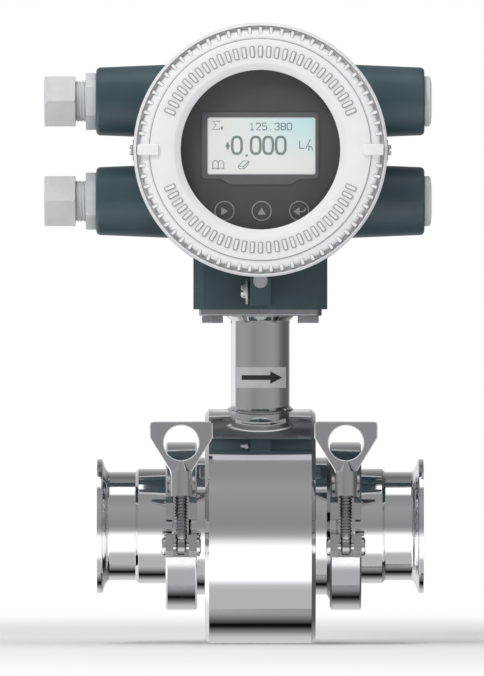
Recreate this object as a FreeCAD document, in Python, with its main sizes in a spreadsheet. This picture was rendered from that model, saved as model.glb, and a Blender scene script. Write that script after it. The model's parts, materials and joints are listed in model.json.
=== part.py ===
import FreeCAD, Part
import math
import os
import Sketcher
from FreeCAD import Placement, Rotation, Vector

# Electromagnetic flow meter with clamped hygienic ends and a round converter on a neck.
# Millimetres. X runs along the pipe with the flow, Z is up and the display faces -Y.
# The origin is on the pipe's axis, in the middle of the barrel.

SIZES = {
    # measuring tube and liner
    "bore_radius": 24.0,
    "liner_wall": 2.9,
    "liner_fit": 0.1,
    "tube_wall": 2.5,
    "sensor_neck_radius": 33.0,
    "tube_shoulder": 20.0,
    "weld_fit": 0.05,
    # barrel
    "barrel_radius": 56.2,
    "barrel_length": 53.1,
    "shell_wall": 2.0,
    "plate_edge": 2.0,
    "plate_spigot": 3.0,
    # clamped joints
    "joint_left": 37.9,
    "joint_right": 40.95,
    "flange_radius": 36.4,
    "flange_rim": 2.5,
    "flange_drop": 2.4,
    "flange_slope": 0.36,
    "gasket_thickness": 2.0,
    "gasket_step": 0.8,
    "collar_start": 31.9,
    "collar_radius": 36.0,
    "collar_width": 1.5,
    # end adapters
    "end_face": 78.45,
    "adapter_bore_radius": 24.5,
    "adapter_radius": 27.5,
    "pipe_radius": 26.0,
    "step_start": 58.5,
    "ferrule_radius": 32.2,
    "ferrule_rim": 2.7,
    "ferrule_neck": 3.4,
    "ferrule_groove_radius": 28.2,
    "ferrule_groove_size": 1.5,
    # hinged clamps
    "clamp_radius": 40.3,
    "clamp_width": 15.0,
    "clamp_sweep": 169.0,
    "clamp_seat_gap": 0.2,
    "clamp_gap": 3.75,
    "clamp_lug_height": 10.85,
    "clamp_lug_reach": 58.5,
    "clamp_lug_root": 38.0,
    "clamp_slot_width": 7.6,
    "clamp_slot_back": 45.8,
    "lug_edge": 0.8,
    "bolt_offset": 51.5,
    "pivot_drop": 9.5,
    "pivot_radius": 2.0,
    "pivot_head_radius": 4.6,
    "pivot_head_height": 1.9,
    "running_fit": 0.05,
    "eye_radius": 4.4,
    "eye_width": 5.2,
    "bolt_radius": 3.0,
    "bolt_top": 25.6,
    "nut_gap": 0.3,
    "hub_radius": 5.4,
    "hub_top": 27.0,
    "wing_half_width": 15.1,
    "wing_shoulder": 42.6,
    "wing_top": 50.5,
    "wing_thickness": 4.5,
    "wing_corner": 1.5,
    "wing_hole_height": 40.2,
    "wing_hole_radius": 8.35,
    "hinge_offset": 45.6,
    "knuckle_radius": 5.0,
    "tongue_width": 6.6,
    "knuckle_gap": 0.3,
    # magnet system and electrodes
    "electrode_recess": 0.3,
    "electrode_radius": 2.0,
    "electrode_head_radius": 4.0,
    "electrode_head_height": 1.5,
    "electrode_length": 12.5,
    "electrode_fit": 0.2,
    "core_radius": 6.8,
    "core_gap": 0.2,
    "coil_radius": 17.5,
    "coil_start": 31.0,
    "coil_clearance": 4.0,
    "yoke_gap": 5.2,
    "yoke_wall": 3.0,
    "yoke_length": 30.0,
    # neck
    "neck_radius": 14.1,
    "neck_wall": 2.0,
    "neck_weld": 2.2,
    "weld_radius": 1.9,
    "flange_height": 101.0,
    "flange_plate": 3.2,
    "flange_side": 59.0,
    "flange_corner": 6.0,
    "flange_edge": 0.7,
    "flange_bolt_spacing": 46.0,
    "flange_bolt_radius": 3.0,
    "flange_bolt_head": 3.4,
    "flange_bolt_flats": 10.0,
    "flange_bolt_depth": 9.0,
    "thread_fit": 0.05,
    "seal_radius": 18.0,
    "seal_width": 3.0,
    "seal_thickness": 2.0,
    "lead_radius": 4.5,
    "lead_fit": 0.3,
    "label_height": 71.4,
    "label_width": 10.0,
    "label_sweep": 115.0,
    "label_turn": 1.6,
    "label_thickness": 0.25,
    "label_gap": 0.05,
    # converter housing, sized from its own axis
    "block_drop": 76.1,
    "housing_front": 66.7,
    "housing_rear": 58.0,
    "collar_length": 9.0,
    "drum_radius": 57.5,
    "collar_stand": 2.5,
    "cavity_radius": 50.0,
    "partition_front": 5.0,
    "partition_rear": 0.0,
    "ledge_depth": 40.0,
    "ledge_radius": 44.0,
    "thread_radius": 54.0,
    "thread_length": 10.0,
    "thread_relief": 1.0,
    "block_width": 64.3,
    "block_front": 31.0,
    "block_edge": 5.0,
    "block_room_radius": 12.0,
    "block_room_height": 14.0,
    "entry_height": 24.0,
    "entry_depth": 8.0,
    "entry_reach": 79.0,
    "entry_radius": 16.3,
    "entry_taper": 0.042,
    "entry_root": 36.0,
    "entry_edge": 1.7,
    "entry_thread_radius": 10.0,
    "rib_half_width": 4.95,
    "rib_bottom": 2.0,
    "rib_top_gap": 5.1,
    "rib_front": 58.0,
    "rib_web": 3.0,
    "rib_plug_radius": 3.55,
    "rib_plug_groove": 0.2,
    "rib_plug_depth": 8.0,
    "rib_plug_recess": 0.3,
    "earth_drop": 10.0,
    "earth_depth": 45.0,
    "earth_pad_radius": 4.5,
    "earth_pad": 0.95,
    "earth_washer_radius": 6.1,
    "earth_washer_height": 1.15,
    "earth_screw_radius": 2.0,
    "earth_head_radius": 3.3,
    "earth_head_height": 2.3,
    "earth_screw_length": 4.5,
    "lock_pad_stand": 3.5,
    "lock_pad_height": 9.9,
    "lock_pad_depth": 9.0,
    "lock_pad_inset": 6.7,
    "lock_screw_radius": 1.5,
    "lock_head_radius": 2.5,
    "lock_head_height": 1.65,
    "lock_screw_length": 6.0,
    # covers, sized from the converter's axis
    "cover_gap": 0.3,
    "cover_radius": 60.7,
    "cover_height": 15.0,
    "cover_edge": 0.7,
    "rim_drop": 1.8,
    "rim_inner_radius": 59.6,
    "groove_drop": 5.0,
    "groove_radius": 57.1,
    "slope_outer_radius": 55.7,
    "slope_outer_drop": 2.5,
    "face_radius": 52.8,
    "bevel_radius": 41.4,
    "window_radius": 38.1,
    "bevel_drop": 3.2,
    "window_lip": 0.8,
    "glass_radius": 42.0,
    "glass_thickness": 6.0,
    "glass_fit": 0.2,
    "rib_count": 70.0,
    "rib_first": 19.0,
    "rib_outer": 58.9,
    "rib_inner": 55.5,
    "rib_width": 2.2,
    "rib_stand": 4.0,
    "lug_outer": 58.8,
    "lug_inner": 48.6,
    "lug_width": 5.4,
    "lug_stand": 2.5,
    "lug_corner": 1.0,
    "rear_rib_width": 2.4,
    "rear_face_drop": 3.0,
    "ring_radius": 56.6,
    "ring_section": 2.8,
    "ring_fit": 0.15,
    # display and boards
    "face_depth": 66.0,
    "face_thickness": 1.5,
    "face_plate_radius": 48.0,
    "face_skirt_wall": 2.0,
    "display_width": 55.9,
    "display_height": 31.9,
    "display_rise": 2.1,
    "display_corner": 1.7,
    "display_tab_width": 29.5,
    "display_tab_slope": 4.2,
    "display_tab_height": 2.7,
    "frame_thickness": 0.6,
    "panel_margin": 1.9,
    "panel_depth": 3.0,
    "panel_fit": 0.1,
    "board_thickness": 1.6,
    "board_fit": 0.3,
    "display_board_depth": 58.0,
    "main_board_depth": 28.0,
    "terminal_width": 60.0,
    "terminal_height": 22.0,
    "terminal_depth": 16.0,
    "terminal_pitch": 7.0,
    "terminal_count": 8.0,
    "terminal_hole_radius": 1.8,
    "terminal_hole_depth": 5.0,
    # cable glands and blanking plugs
    "gland_flats": 24.0,
    "gland_collar": 5.0,
    "gland_stem": 16.4,
    "gland_bore_radius": 7.0,
    "gland_spigot": 11.0,
    "gland_thread_shown": 5.0,
    "nut_length": 14.9,
    "nut_end_wall": 2.2,
    "nut_mouth_radius": 7.4,
    "nut_round": 2.2,
    "seal_bore_radius": 4.0,
    "seal_end_gap": 0.1,
    "plug_radius": 12.1,
    "plug_edge_height": 2.4,
    "plug_dome": 1.0,
    "plug_key_flats": 8.0,
    "plug_key_depth": 3.0,
}

DOC = FreeCAD.newDocument("flow_meter")
NODES = {}


class Size:
    # a value together with the formula that gives it from the cells of the sheet
    def __init__(self, value, formula):
        self.value = float(value)
        self.formula = formula

    def __add__(self, other):
        return combined(self, "+", other)

    def __radd__(self, other):
        return combined(other, "+", self)

    def __sub__(self, other):
        return combined(self, "-", other)

    def __rsub__(self, other):
        return combined(other, "-", self)

    def __mul__(self, other):
        return combined(self, "*", other)

    def __rmul__(self, other):
        return combined(other, "*", self)

    def __truediv__(self, other):
        return combined(self, "/", other)

    def __rtruediv__(self, other):
        return combined(other, "/", self)

    def __neg__(self):
        return combined(0, "-", self)


def as_size(thing):
    if isinstance(thing, Size):
        return thing
    return Size(thing, "(%s)" % thing)


def combined(first, sign, second):
    first = as_size(first)
    second = as_size(second)
    results = {
        "+": lambda a, b: a + b,
        "-": lambda a, b: a - b,
        "*": lambda a, b: a * b,
        "/": lambda a, b: a / b,
    }
    value = results[sign](first.value, second.value)
    return Size(value, "(%s %s %s)" % (first.formula, sign, second.formula))


def root(size):
    return Size(math.sqrt(size.value), "sqrt(%s)" % size.formula)


class Sizes:
    # each cell of the sheet as an attribute
    def __getattr__(self, name):
        return Size(SIZES[name], "Sizes." + name)


S = Sizes()


def make_sheet():
    sheet = DOC.addObject("Spreadsheet::Sheet", "Sizes")
    for row, (name, value) in enumerate(SIZES.items(), 1):
        sheet.set("A%d" % row, name)
        sheet.set("B%d" % row, str(value))
        sheet.setAlias("B%d" % row, name)
    DOC.recompute()


# Small helpers

TURNS = {
    "Z": Rotation(),
    "-Z": Rotation(Vector(1, 0, 0), 180),
    "X": Rotation(Vector(0, 1, 0), 90),
    "-X": Rotation(Vector(0, 1, 0), -90),
    "Y": Rotation(Vector(1, 0, 0), -90),
    "-Y": Rotation(Vector(1, 0, 0), 90),
}


def bind(thing, prop, size):
    thing.setExpression(prop, as_size(size).formula)


def place(thing, at, along="Z"):
    thing.Placement = Placement(Vector(0, 0, 0), TURNS[along])
    for axis, size in zip("xyz", at):
        bind(thing, "Placement.Base." + axis, size)
    return thing


def cylinder(name, radius, height, at=(0, 0, 0), along="Z"):
    piece = DOC.addObject("Part::Cylinder", name)
    bind(piece, "Radius", radius)
    bind(piece, "Height", height)
    return place(piece, at, along)


def hexagon(name, flats, height, at=(0, 0, 0), along="Z"):
    # a corner points at the viewer
    piece = DOC.addObject("Part::Prism", name)
    piece.Polygon = 6
    bind(piece, "Circumradius", flats / math.sqrt(3))
    bind(piece, "Height", height)
    place(piece, at, along)
    piece.Placement.Rotation = TURNS[along].multiply(Rotation(Vector(0, 0, 1), 30))
    return piece


def cone(name, low_radius, high_radius, height, at=(0, 0, 0), along="Z"):
    piece = DOC.addObject("Part::Cone", name)
    bind(piece, "Radius1", low_radius)
    bind(piece, "Radius2", high_radius)
    bind(piece, "Height", height)
    return place(piece, at, along)


def fused(name, *pieces):
    result = DOC.addObject("Part::MultiFuse", name)
    result.Shapes = list(pieces)
    result.Refine = True
    return result


def cut(name, base, *tools):
    tool = tools[0]
    if len(tools) > 1:
        tool = fused(name + "_tools", *tools)
    result = DOC.addObject("Part::Cut", name)
    result.Base = base
    result.Tool = tool
    return result


def grouped(name, *pieces):
    result = DOC.addObject("Part::Compound", name)
    result.Links = list(pieces)
    return result


def node(name, thing):
    thing.Label = name
    NODES[name] = thing
    return thing


def make_body(name, at=(0, 0, 0)):
    body = DOC.addObject("PartDesign::Body", name)
    return place(body, at)


def make_sketch(body, name, plane, shift=(0, 0, 0), turn=0.0):
    origin_plane = [part for part in body.Origin.OriginFeatures if part.Role == plane][0]
    sketch = body.newObject("Sketcher::SketchObject", name)
    sketch.AttachmentSupport = [(origin_plane, "")]
    sketch.MapMode = "FlatFace"
    sketch.AttachmentOffset = Placement(Vector(0, 0, 0), Rotation(Vector(0, 0, 1), turn))
    for axis, size in zip("xyz", shift):
        bind(sketch, "AttachmentOffset.Base." + axis, size)
    return sketch


def hold(sketch, kind, *where, size):
    size = as_size(size)
    index = sketch.addConstraint(Sketcher.Constraint(kind, *where, size.value))
    sketch.setExpression("Constraints[%d]" % index, size.formula)


def hold_point(sketch, line, end, x, y):
    hold(sketch, "DistanceX", -1, 1, line, end, size=x)
    hold(sketch, "DistanceY", -1, 1, line, end, size=y)


def polygon(sketch, corners):
    corners = [(as_size(x), as_size(y)) for x, y in corners]
    first = sketch.GeometryCount
    count = len(corners)
    for index, (x, y) in enumerate(corners):
        next_x, next_y = corners[(index + 1) % count]
        start = Vector(x.value, y.value, 0)
        stop = Vector(next_x.value, next_y.value, 0)
        sketch.addGeometry(Part.LineSegment(start, stop), False)
    for index in range(count):
        following = first + (index + 1) % count
        sketch.addConstraint(Sketcher.Constraint("Coincident", first + index, 2, following, 1))
    for index, (x, y) in enumerate(corners):
        hold_point(sketch, first + index, 1, x, y)


def rectangle(sketch, left, bottom, right, top):
    polygon(sketch, [(left, bottom), (right, bottom), (right, top), (left, top)])


def circle(sketch, x, y, radius):
    x, y, radius = as_size(x), as_size(y), as_size(radius)
    centre = Vector(x.value, y.value, 0)
    index = sketch.addGeometry(Part.Circle(centre, Vector(0, 0, 1), radius.value), False)
    hold_point(sketch, index, 3, x, y)
    hold(sketch, "Radius", index, size=radius)


def add_feature(body, kind, name, sketch=None):
    feature = body.newObject("PartDesign::" + kind, name)
    if sketch is not None:
        feature.Profile = sketch
    body.Tip = feature
    return feature


def revolve(body, name, sketch, axis="H_Axis", kind="Revolution", angle=360):
    feature = add_feature(body, kind, name, sketch)
    feature.ReferenceAxis = (sketch, [axis])
    bind(feature, "Angle", angle)
    return feature


def pad(body, name, sketch, length, kind="Pad", both_sides=False, reverse=False):
    feature = add_feature(body, kind, name, sketch)
    bind(feature, "Length", length)
    if both_sides:
        feature.Midplane = True
    feature.Reversed = reverse
    return feature


def pocket(body, name, sketch, length, both_sides=False, reverse=False):
    return pad(body, name, sketch, length, "Pocket", both_sides, reverse)


def softened(body, name, size, chosen):
    # rounds the edges that the test picks
    DOC.recompute()
    base = body.Tip
    names = ["Edge%d" % number for number, edge in enumerate(base.Shape.Edges, 1) if chosen(edge)]
    feature = body.newObject("PartDesign::Fillet", name)
    feature.Base = (base, names)
    bind(feature, "Radius", size)
    body.Tip = feature
    return feature


def lies_at(edge, axis, size, slack=0.01):
    box = edge.BoundBox
    low = getattr(box, axis + "Min")
    high = getattr(box, axis + "Max")
    return abs(low - as_size(size).value) < slack and abs(high - as_size(size).value) < slack


def is_upright(edge):
    box = edge.BoundBox
    return box.XLength < 0.01 and box.YLength < 0.01


# Sensor

TUBE_INNER = S.bore_radius + S.liner_wall + S.liner_fit
TUBE_OUTER = TUBE_INNER + S.tube_wall
LEFT_FACE = S.gasket_thickness / 2 - S.joint_left
RIGHT_FACE = S.joint_right - S.gasket_thickness / 2
BARREL_END = S.barrel_length / 2
SHELL_END = BARREL_END - S.plate_edge
YOKE_RADIUS = S.barrel_radius - S.shell_wall - S.yoke_gap
COIL_HEIGHT = YOKE_RADIUS - S.yoke_wall - S.coil_clearance - S.coil_start
FLANGE_SIDE = S.flange_slope * S.flange_drop
NECK_SIDE = S.flange_slope * (S.flange_radius - S.sensor_neck_radius)


def make_measuring_tube():
    body = make_body("measuring_tube")
    section = make_sketch(body, "tube_section", "XZ_Plane")
    polygon(section, [
        (LEFT_FACE, TUBE_INNER),
        (LEFT_FACE, S.flange_radius),
        (LEFT_FACE + S.flange_rim, S.flange_radius),
        (LEFT_FACE + S.flange_rim + NECK_SIDE, S.sensor_neck_radius),
        (-S.tube_shoulder, S.sensor_neck_radius),
        (-S.tube_shoulder, TUBE_OUTER),
        (S.tube_shoulder, TUBE_OUTER),
        (S.tube_shoulder, S.sensor_neck_radius),
        (S.collar_start, S.sensor_neck_radius),
        (S.collar_start + S.collar_width, S.collar_radius),
        (S.collar_start + S.collar_width, S.sensor_neck_radius),
        (RIGHT_FACE - S.flange_rim - NECK_SIDE, S.sensor_neck_radius),
        (RIGHT_FACE - S.flange_rim, S.flange_radius),
        (RIGHT_FACE, S.flange_radius),
        (RIGHT_FACE, TUBE_INNER),
    ])
    revolve(body, "tube_turned", section)
    hole = make_sketch(body, "electrode_hole", "XZ_Plane")
    circle(hole, 0, 0, S.electrode_radius + S.electrode_fit)
    pocket(body, "electrode_holes", hole, TUBE_OUTER * 3, both_sides=True)
    node("measuring_tube", body)


def make_liner():
    length = RIGHT_FACE - LEFT_FACE
    outside = cylinder("liner_outside", S.bore_radius + S.liner_wall, length, (LEFT_FACE, 0, 0), "X")
    inside = cylinder("liner_inside", S.bore_radius, length, (LEFT_FACE, 0, 0), "X")
    reach = S.bore_radius + S.electrode_recess + S.electrode_head_height + S.electrode_fit
    seats = cylinder("electrode_seats", S.electrode_head_radius + S.electrode_fit, reach * 2,
                     (0, -reach, 0), "Y")
    stems = cylinder("electrode_ways", S.electrode_radius + S.electrode_fit, TUBE_OUTER * 2,
                     (0, -TUBE_OUTER, 0), "Y")
    node("liner", cut("liner", outside, inside, seats, stems))


def make_electrode(name, along):
    sign = -1 if along == "-Y" else 1
    start = S.bore_radius + S.electrode_recess
    nut_start = TUBE_OUTER + S.electrode_fit / 2
    head = cylinder(name + "_head", S.electrode_head_radius, S.electrode_head_height,
                    (0, sign * start, 0), along)
    stem = cylinder(name + "_stem", S.electrode_radius, S.electrode_length, (0, sign * start, 0), along)
    nut = hexagon(name + "_nut", S.electrode_head_radius * 2, S.electrode_head_height * 2,
                  (0, sign * nut_start, 0), along)
    node(name, fused(name, head, stem, nut))


def make_magnet(name, along):
    # a field coil on its core, which reaches from the tube through the yoke
    sign = -1 if along == "-Z" else 1
    core_start = TUBE_OUTER + S.weld_fit * 2
    core_length = YOKE_RADIUS + S.core_gap - core_start
    core = cylinder("core_" + name, S.core_radius, core_length, (0, 0, sign * core_start), along)
    node("core_" + name, core)
    winding = cylinder("winding_" + name, S.coil_radius, COIL_HEIGHT, (0, 0, sign * S.coil_start), along)
    hole = cylinder("winding_hole_" + name, S.core_radius + S.core_gap, COIL_HEIGHT,
                    (0, 0, sign * S.coil_start), along)
    node("coil_" + name, cut("coil_" + name, winding, hole))


def make_yoke():
    start = (-S.yoke_length / 2, 0, 0)
    outside = cylinder("yoke_outside", YOKE_RADIUS, S.yoke_length, start, "X")
    inside = cylinder("yoke_inside", YOKE_RADIUS - S.yoke_wall, S.yoke_length, start, "X")
    hole = cylinder("yoke_core_holes", S.core_radius + S.core_gap / 2, YOKE_RADIUS * 3,
                    (0, 0, -YOKE_RADIUS * 1.5))
    node("magnetic_yoke", cut("magnetic_yoke", outside, inside, hole))


def make_barrel_shell():
    start = (-SHELL_END, 0, 0)
    outside = cylinder("shell_outside", S.barrel_radius, SHELL_END * 2, start, "X")
    inside = cylinder("shell_inside", S.barrel_radius - S.shell_wall, SHELL_END * 2, start, "X")
    hole = cylinder("shell_neck_hole", S.neck_radius - S.neck_wall, S.barrel_radius * 2)
    node("barrel_shell", cut("barrel_shell", outside, inside, hole))


def make_end_plate(name, sign):
    body = make_body(name)
    section = make_sketch(body, name + "_section", "XZ_Plane")
    bore = S.sensor_neck_radius + S.weld_fit
    spigot = S.barrel_radius - S.shell_wall - S.weld_fit
    polygon(section, [
        (sign * (SHELL_END - S.plate_spigot), bore),
        (sign * (SHELL_END - S.plate_spigot), spigot),
        (sign * SHELL_END, spigot),
        (sign * SHELL_END, S.barrel_radius),
        (sign * BARREL_END, S.barrel_radius - S.plate_edge),
        (sign * BARREL_END, bore),
    ])
    revolve(body, name + "_turned", section)
    node(name, body)


# Process ends

def make_adapter(name, sign, joint):
    # measured outwards from the middle of the barrel; the open end carries a ferrule
    body = make_body(name)
    section = make_sketch(body, name + "_section", "XZ_Plane")
    face = joint + S.gasket_thickness / 2
    flange_back = face + S.flange_rim + FLANGE_SIDE
    rim = S.end_face - S.ferrule_rim
    neck = rim - S.ferrule_neck
    step = S.adapter_radius - S.pipe_radius
    groove = S.ferrule_groove_size
    points = [
        (face, S.adapter_bore_radius),
        (face, S.flange_radius),
        (face + S.flange_rim, S.flange_radius),
        (flange_back, S.flange_radius - S.flange_drop),
        (flange_back, S.adapter_radius),
        (S.step_start, S.adapter_radius),
        (S.step_start + step, S.pipe_radius),
        (neck, S.pipe_radius),
        (neck + S.ferrule_neck * 0.45, S.pipe_radius + 0.8),
        (neck + S.ferrule_neck * 0.8, S.pipe_radius + 2.6),
        (rim, S.ferrule_radius - 0.6),
        (rim + 0.6, S.ferrule_radius),
        (S.end_face, S.ferrule_radius),
        (S.end_face, S.ferrule_groove_radius + groove),
        (S.end_face - groove * 0.8, S.ferrule_groove_radius + groove * 0.6),
        (S.end_face - groove, S.ferrule_groove_radius),
        (S.end_face - groove * 0.8, S.ferrule_groove_radius - groove * 0.6),
        (S.end_face, S.ferrule_groove_radius - groove),
        (S.end_face, S.adapter_bore_radius),
    ]
    polygon(section, [(sign * x, radius) for x, radius in points])
    revolve(body, name + "_turned", section)
    node(name, body)


def make_clamp_gasket(name, joint):
    start = (joint - S.gasket_thickness / 2, 0, 0)
    outside = cylinder(name + "_outside", S.flange_radius, S.gasket_thickness, start, "X")
    inside = cylinder(name + "_inside", S.adapter_bore_radius + S.gasket_step, S.gasket_thickness, start, "X")
    node(name, cut(name, outside, inside))


def make_clamp_half(name, joint, sign):
    # the band's groove grips both flanges; sign 1 is the upper half, -1 the lower
    body = make_body(name, (joint, 0, 0))
    half = S.clamp_width / 2
    groove_radius = S.flange_radius + S.clamp_seat_gap
    lip_radius = S.flange_radius - S.flange_drop + S.clamp_seat_gap
    groove_half = S.gasket_thickness / 2 + S.flange_rim + S.clamp_seat_gap
    lip_half = groove_half + FLANGE_SIDE
    points = [
        (-half, lip_radius),
        (-half, S.clamp_radius - S.lug_edge),
        (S.lug_edge - half, S.clamp_radius),
        (half - S.lug_edge, S.clamp_radius),
        (half, S.clamp_radius - S.lug_edge),
        (half, lip_radius),
        (lip_half, lip_radius),
        (groove_half, groove_radius),
        (-groove_half, groove_radius),
        (-lip_half, lip_radius),
    ]
    # lugs at the front, with a slot that opens forwards for the swivel bolt
    lug = make_sketch(body, name + "_lug_outline", "YZ_Plane")
    lug_far = S.clamp_gap + S.clamp_lug_height
    polygon(lug, [
        (-S.clamp_lug_root, sign * S.clamp_gap),
        (-S.clamp_lug_reach, sign * S.clamp_gap),
        (-S.clamp_lug_reach, sign * (lug_far - 3)),
        (3 - S.clamp_lug_reach, sign * lug_far),
        (1.5 - S.clamp_lug_root, sign * lug_far),
    ])
    pad(body, name + "_lug", lug, S.clamp_width - S.running_fit * 2, both_sides=True)
    if sign > 0:
        shape_nut_seat(body, name)
    section = make_sketch(body, name + "_section", "XZ_Plane")
    polygon(section, [(x, sign * radius) for x, radius in points])
    band = revolve(body, name + "_band", section, angle=S.clamp_sweep)
    band.Midplane = True
    slot = make_sketch(body, name + "_slot_outline", "YZ_Plane")
    rectangle(slot, -S.clamp_lug_reach - 1, -lug_far - 5, -S.clamp_slot_back, lug_far + 5)
    pocket(body, name + "_slot", slot, S.clamp_slot_width, both_sides=True)
    # knuckles at the rear: a tongue above, an ear on each side of it below
    shape_knuckles(body, name, sign)
    if sign < 0:
        pin_hole(body, name + "_pivot_hole", -S.bolt_offset, -S.pivot_drop)
    pin_hole(body, name + "_hinge_hole", S.hinge_offset, 0)
    node(name, body)


def shape_nut_seat(body, name):
    # the seat is round about the pivot pin, so that the bolt can swing out from under its nut
    ring = make_sketch(body, name + "_seat_outline", "YZ_Plane")
    seat_radius = S.clamp_gap + S.clamp_lug_height + S.pivot_drop
    circle(ring, -S.bolt_offset, -S.pivot_drop, seat_radius)
    rectangle(ring, -S.bolt_offset - seat_radius * 1.5, -S.pivot_drop - seat_radius * 1.5,
              seat_radius * 1.5 - S.bolt_offset, seat_radius * 1.5 - S.pivot_drop)
    pocket(body, name + "_seat", ring, S.clamp_width * 2, both_sides=True)


def shape_knuckles(body, name, sign):
    web_root = S.clamp_radius - 2
    web_height = S.clamp_gap + 6
    outline = make_sketch(body, name + "_knuckle_outline", "YZ_Plane")
    circle(outline, S.hinge_offset, 0, S.knuckle_radius)
    width = S.tongue_width if sign > 0 else S.clamp_width
    pad(body, name + "_knuckle", outline, width, both_sides=True)
    web = make_sketch(body, name + "_web_outline", "YZ_Plane")
    polygon(web, [
        (web_root, sign * (S.clamp_gap + 0.4)),
        (S.hinge_offset - S.knuckle_radius * 0.9, sign * 1.0),
        (S.hinge_offset + S.knuckle_radius * 0.9, sign * 1.0),
        (S.hinge_offset + S.knuckle_radius * 0.9, sign * 2.0),
        (web_root - 2, sign * web_height),
    ])
    pad(body, name + "_web", web, width, both_sides=True)
    if sign < 0:
        gap = make_sketch(body, name + "_ear_gap_outline", "YZ_Plane")
        rectangle(gap, S.clamp_radius, -web_height - 5, S.hinge_offset + S.knuckle_radius + 1, web_height)
        pocket(body, name + "_ear_gap", gap, S.tongue_width + S.knuckle_gap * 2, both_sides=True)


def pin_hole(body, name, depth, height):
    hole = make_sketch(body, name + "_outline", "YZ_Plane")
    circle(hole, depth, height, S.pivot_radius + S.running_fit)
    pocket(body, name, hole, S.clamp_width * 2, both_sides=True)


def make_pin(name, joint, depth, height):
    # a plain pin with a low round head at each end
    half = S.clamp_width / 2
    shank = cylinder(name + "_shank", S.pivot_radius, S.clamp_width, (joint - half, depth, height), "X")
    left = cylinder(name + "_left_head", S.pivot_head_radius, S.pivot_head_height,
                    (joint - half, depth, height), "-X")
    right = cylinder(name + "_right_head", S.pivot_head_radius, S.pivot_head_height,
                     (joint + half, depth, height), "X")
    node(name, fused(name, shank, left, right))


def make_swivel_bolt(name, joint):
    eye = cylinder(name + "_eye", S.eye_radius, S.eye_width,
                   (joint - S.eye_width / 2, -S.bolt_offset, -S.pivot_drop), "X")
    shank = cylinder(name + "_shank", S.bolt_radius, S.bolt_top + S.pivot_drop,
                     (joint, -S.bolt_offset, -S.pivot_drop))
    hole = cylinder(name + "_hole", S.pivot_radius + S.running_fit, S.clamp_width,
                    (joint - S.clamp_width / 2, -S.bolt_offset, -S.pivot_drop), "X")
    node(name, cut(name, fused(name + "_solid", eye, shank), hole))


def make_wing_nut(name, joint):
    body = make_body(name, (joint, -S.bolt_offset, 0))
    hub_bottom = S.clamp_gap + S.clamp_lug_height + S.nut_gap
    wing = make_sketch(body, name + "_wing_outline", "XZ_Plane")
    polygon(wing, [
        (-S.hub_radius, S.hub_top - 2),
        (S.hub_radius, S.hub_top - 2),
        (S.hub_radius, S.hub_top),
        (S.wing_half_width, S.wing_shoulder),
        (S.wing_half_width, S.wing_top),
        (-S.wing_half_width, S.wing_top),
        (-S.wing_half_width, S.wing_shoulder),
        (-S.hub_radius, S.hub_top),
    ])
    pad(body, name + "_wing", wing, S.wing_thickness, both_sides=True)
    softened(body, name + "_corners", S.wing_corner, lambda edge: edge.BoundBox.XLength < 0.01
             and edge.BoundBox.ZLength < 0.01 and edge.BoundBox.ZMin > S.wing_shoulder.value + 1)
    hub = make_sketch(body, name + "_hub_section", "XZ_Plane")
    polygon(hub, [
        (0, hub_bottom),
        (S.hub_radius, hub_bottom),
        (S.hub_radius, S.hub_top - 0.4),
        (S.wing_thickness / 2, S.hub_top + 2.5),
        (0, S.hub_top + 2.5),
    ])
    revolve(body, name + "_hub", hub, axis="V_Axis")
    hole = make_sketch(body, name + "_hole_outline", "XZ_Plane")
    circle(hole, 0, S.wing_hole_height, S.wing_hole_radius)
    pocket(body, name + "_hole", hole, S.hub_radius * 4, both_sides=True)
    bore = make_sketch(body, name + "_bore_section", "XZ_Plane")
    rectangle(bore, 0, hub_bottom - 1, S.bolt_radius + S.running_fit, S.bolt_top + S.nut_gap)
    revolve(body, name + "_bore", bore, axis="V_Axis", kind="Groove")
    node(name, body)


# Neck

FLANGE_TOP = S.flange_height + S.flange_plate
CONVERTER_HEIGHT = FLANGE_TOP + S.block_drop


def make_neck_tube():
    # stands on the barrel, with a weld bead that follows the saddle and one under the flange
    barrel = cylinder("neck_barrel", S.barrel_radius, S.barrel_length * 2, (-S.barrel_length, 0, 0), "X")
    tube = cylinder("neck_outside", S.neck_radius, S.flange_height)
    joined = fused("neck_on_barrel", barrel, tube)
    DOC.recompute()
    bead = DOC.addObject("Part::Chamfer", "neck_bead")
    bead.Base = joined
    reach = S.neck_radius.value
    chosen = []
    for number, edge in enumerate(joined.Shape.Edges, 1):
        box = edge.BoundBox
        on_saddle = box.ZMax < S.barrel_radius.value + 0.1 and box.ZMin > S.barrel_radius.value - 4
        if on_saddle and abs(box.XMax) < reach + 0.1 and abs(box.YMax) < reach + 0.1:
            chosen.append((number, S.weld_radius.value, S.weld_radius.value))
    bead.Edges = chosen
    top_bead = cone("neck_top_bead", S.neck_radius, S.neck_radius + S.neck_weld * 0.85, S.neck_weld,
                    (0, 0, S.flange_height - S.neck_weld))
    outside = fused("neck_outline", bead, top_bead)
    inside = cylinder("neck_inside", S.neck_radius - S.neck_wall, S.flange_height * 2)
    barrel_room = cylinder("neck_barrel_room", S.barrel_radius, S.barrel_length * 3,
                           (-S.barrel_length * 1.5, 0, 0), "X")
    node("neck_tube", cut("neck_tube", outside, inside, barrel_room))


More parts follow.
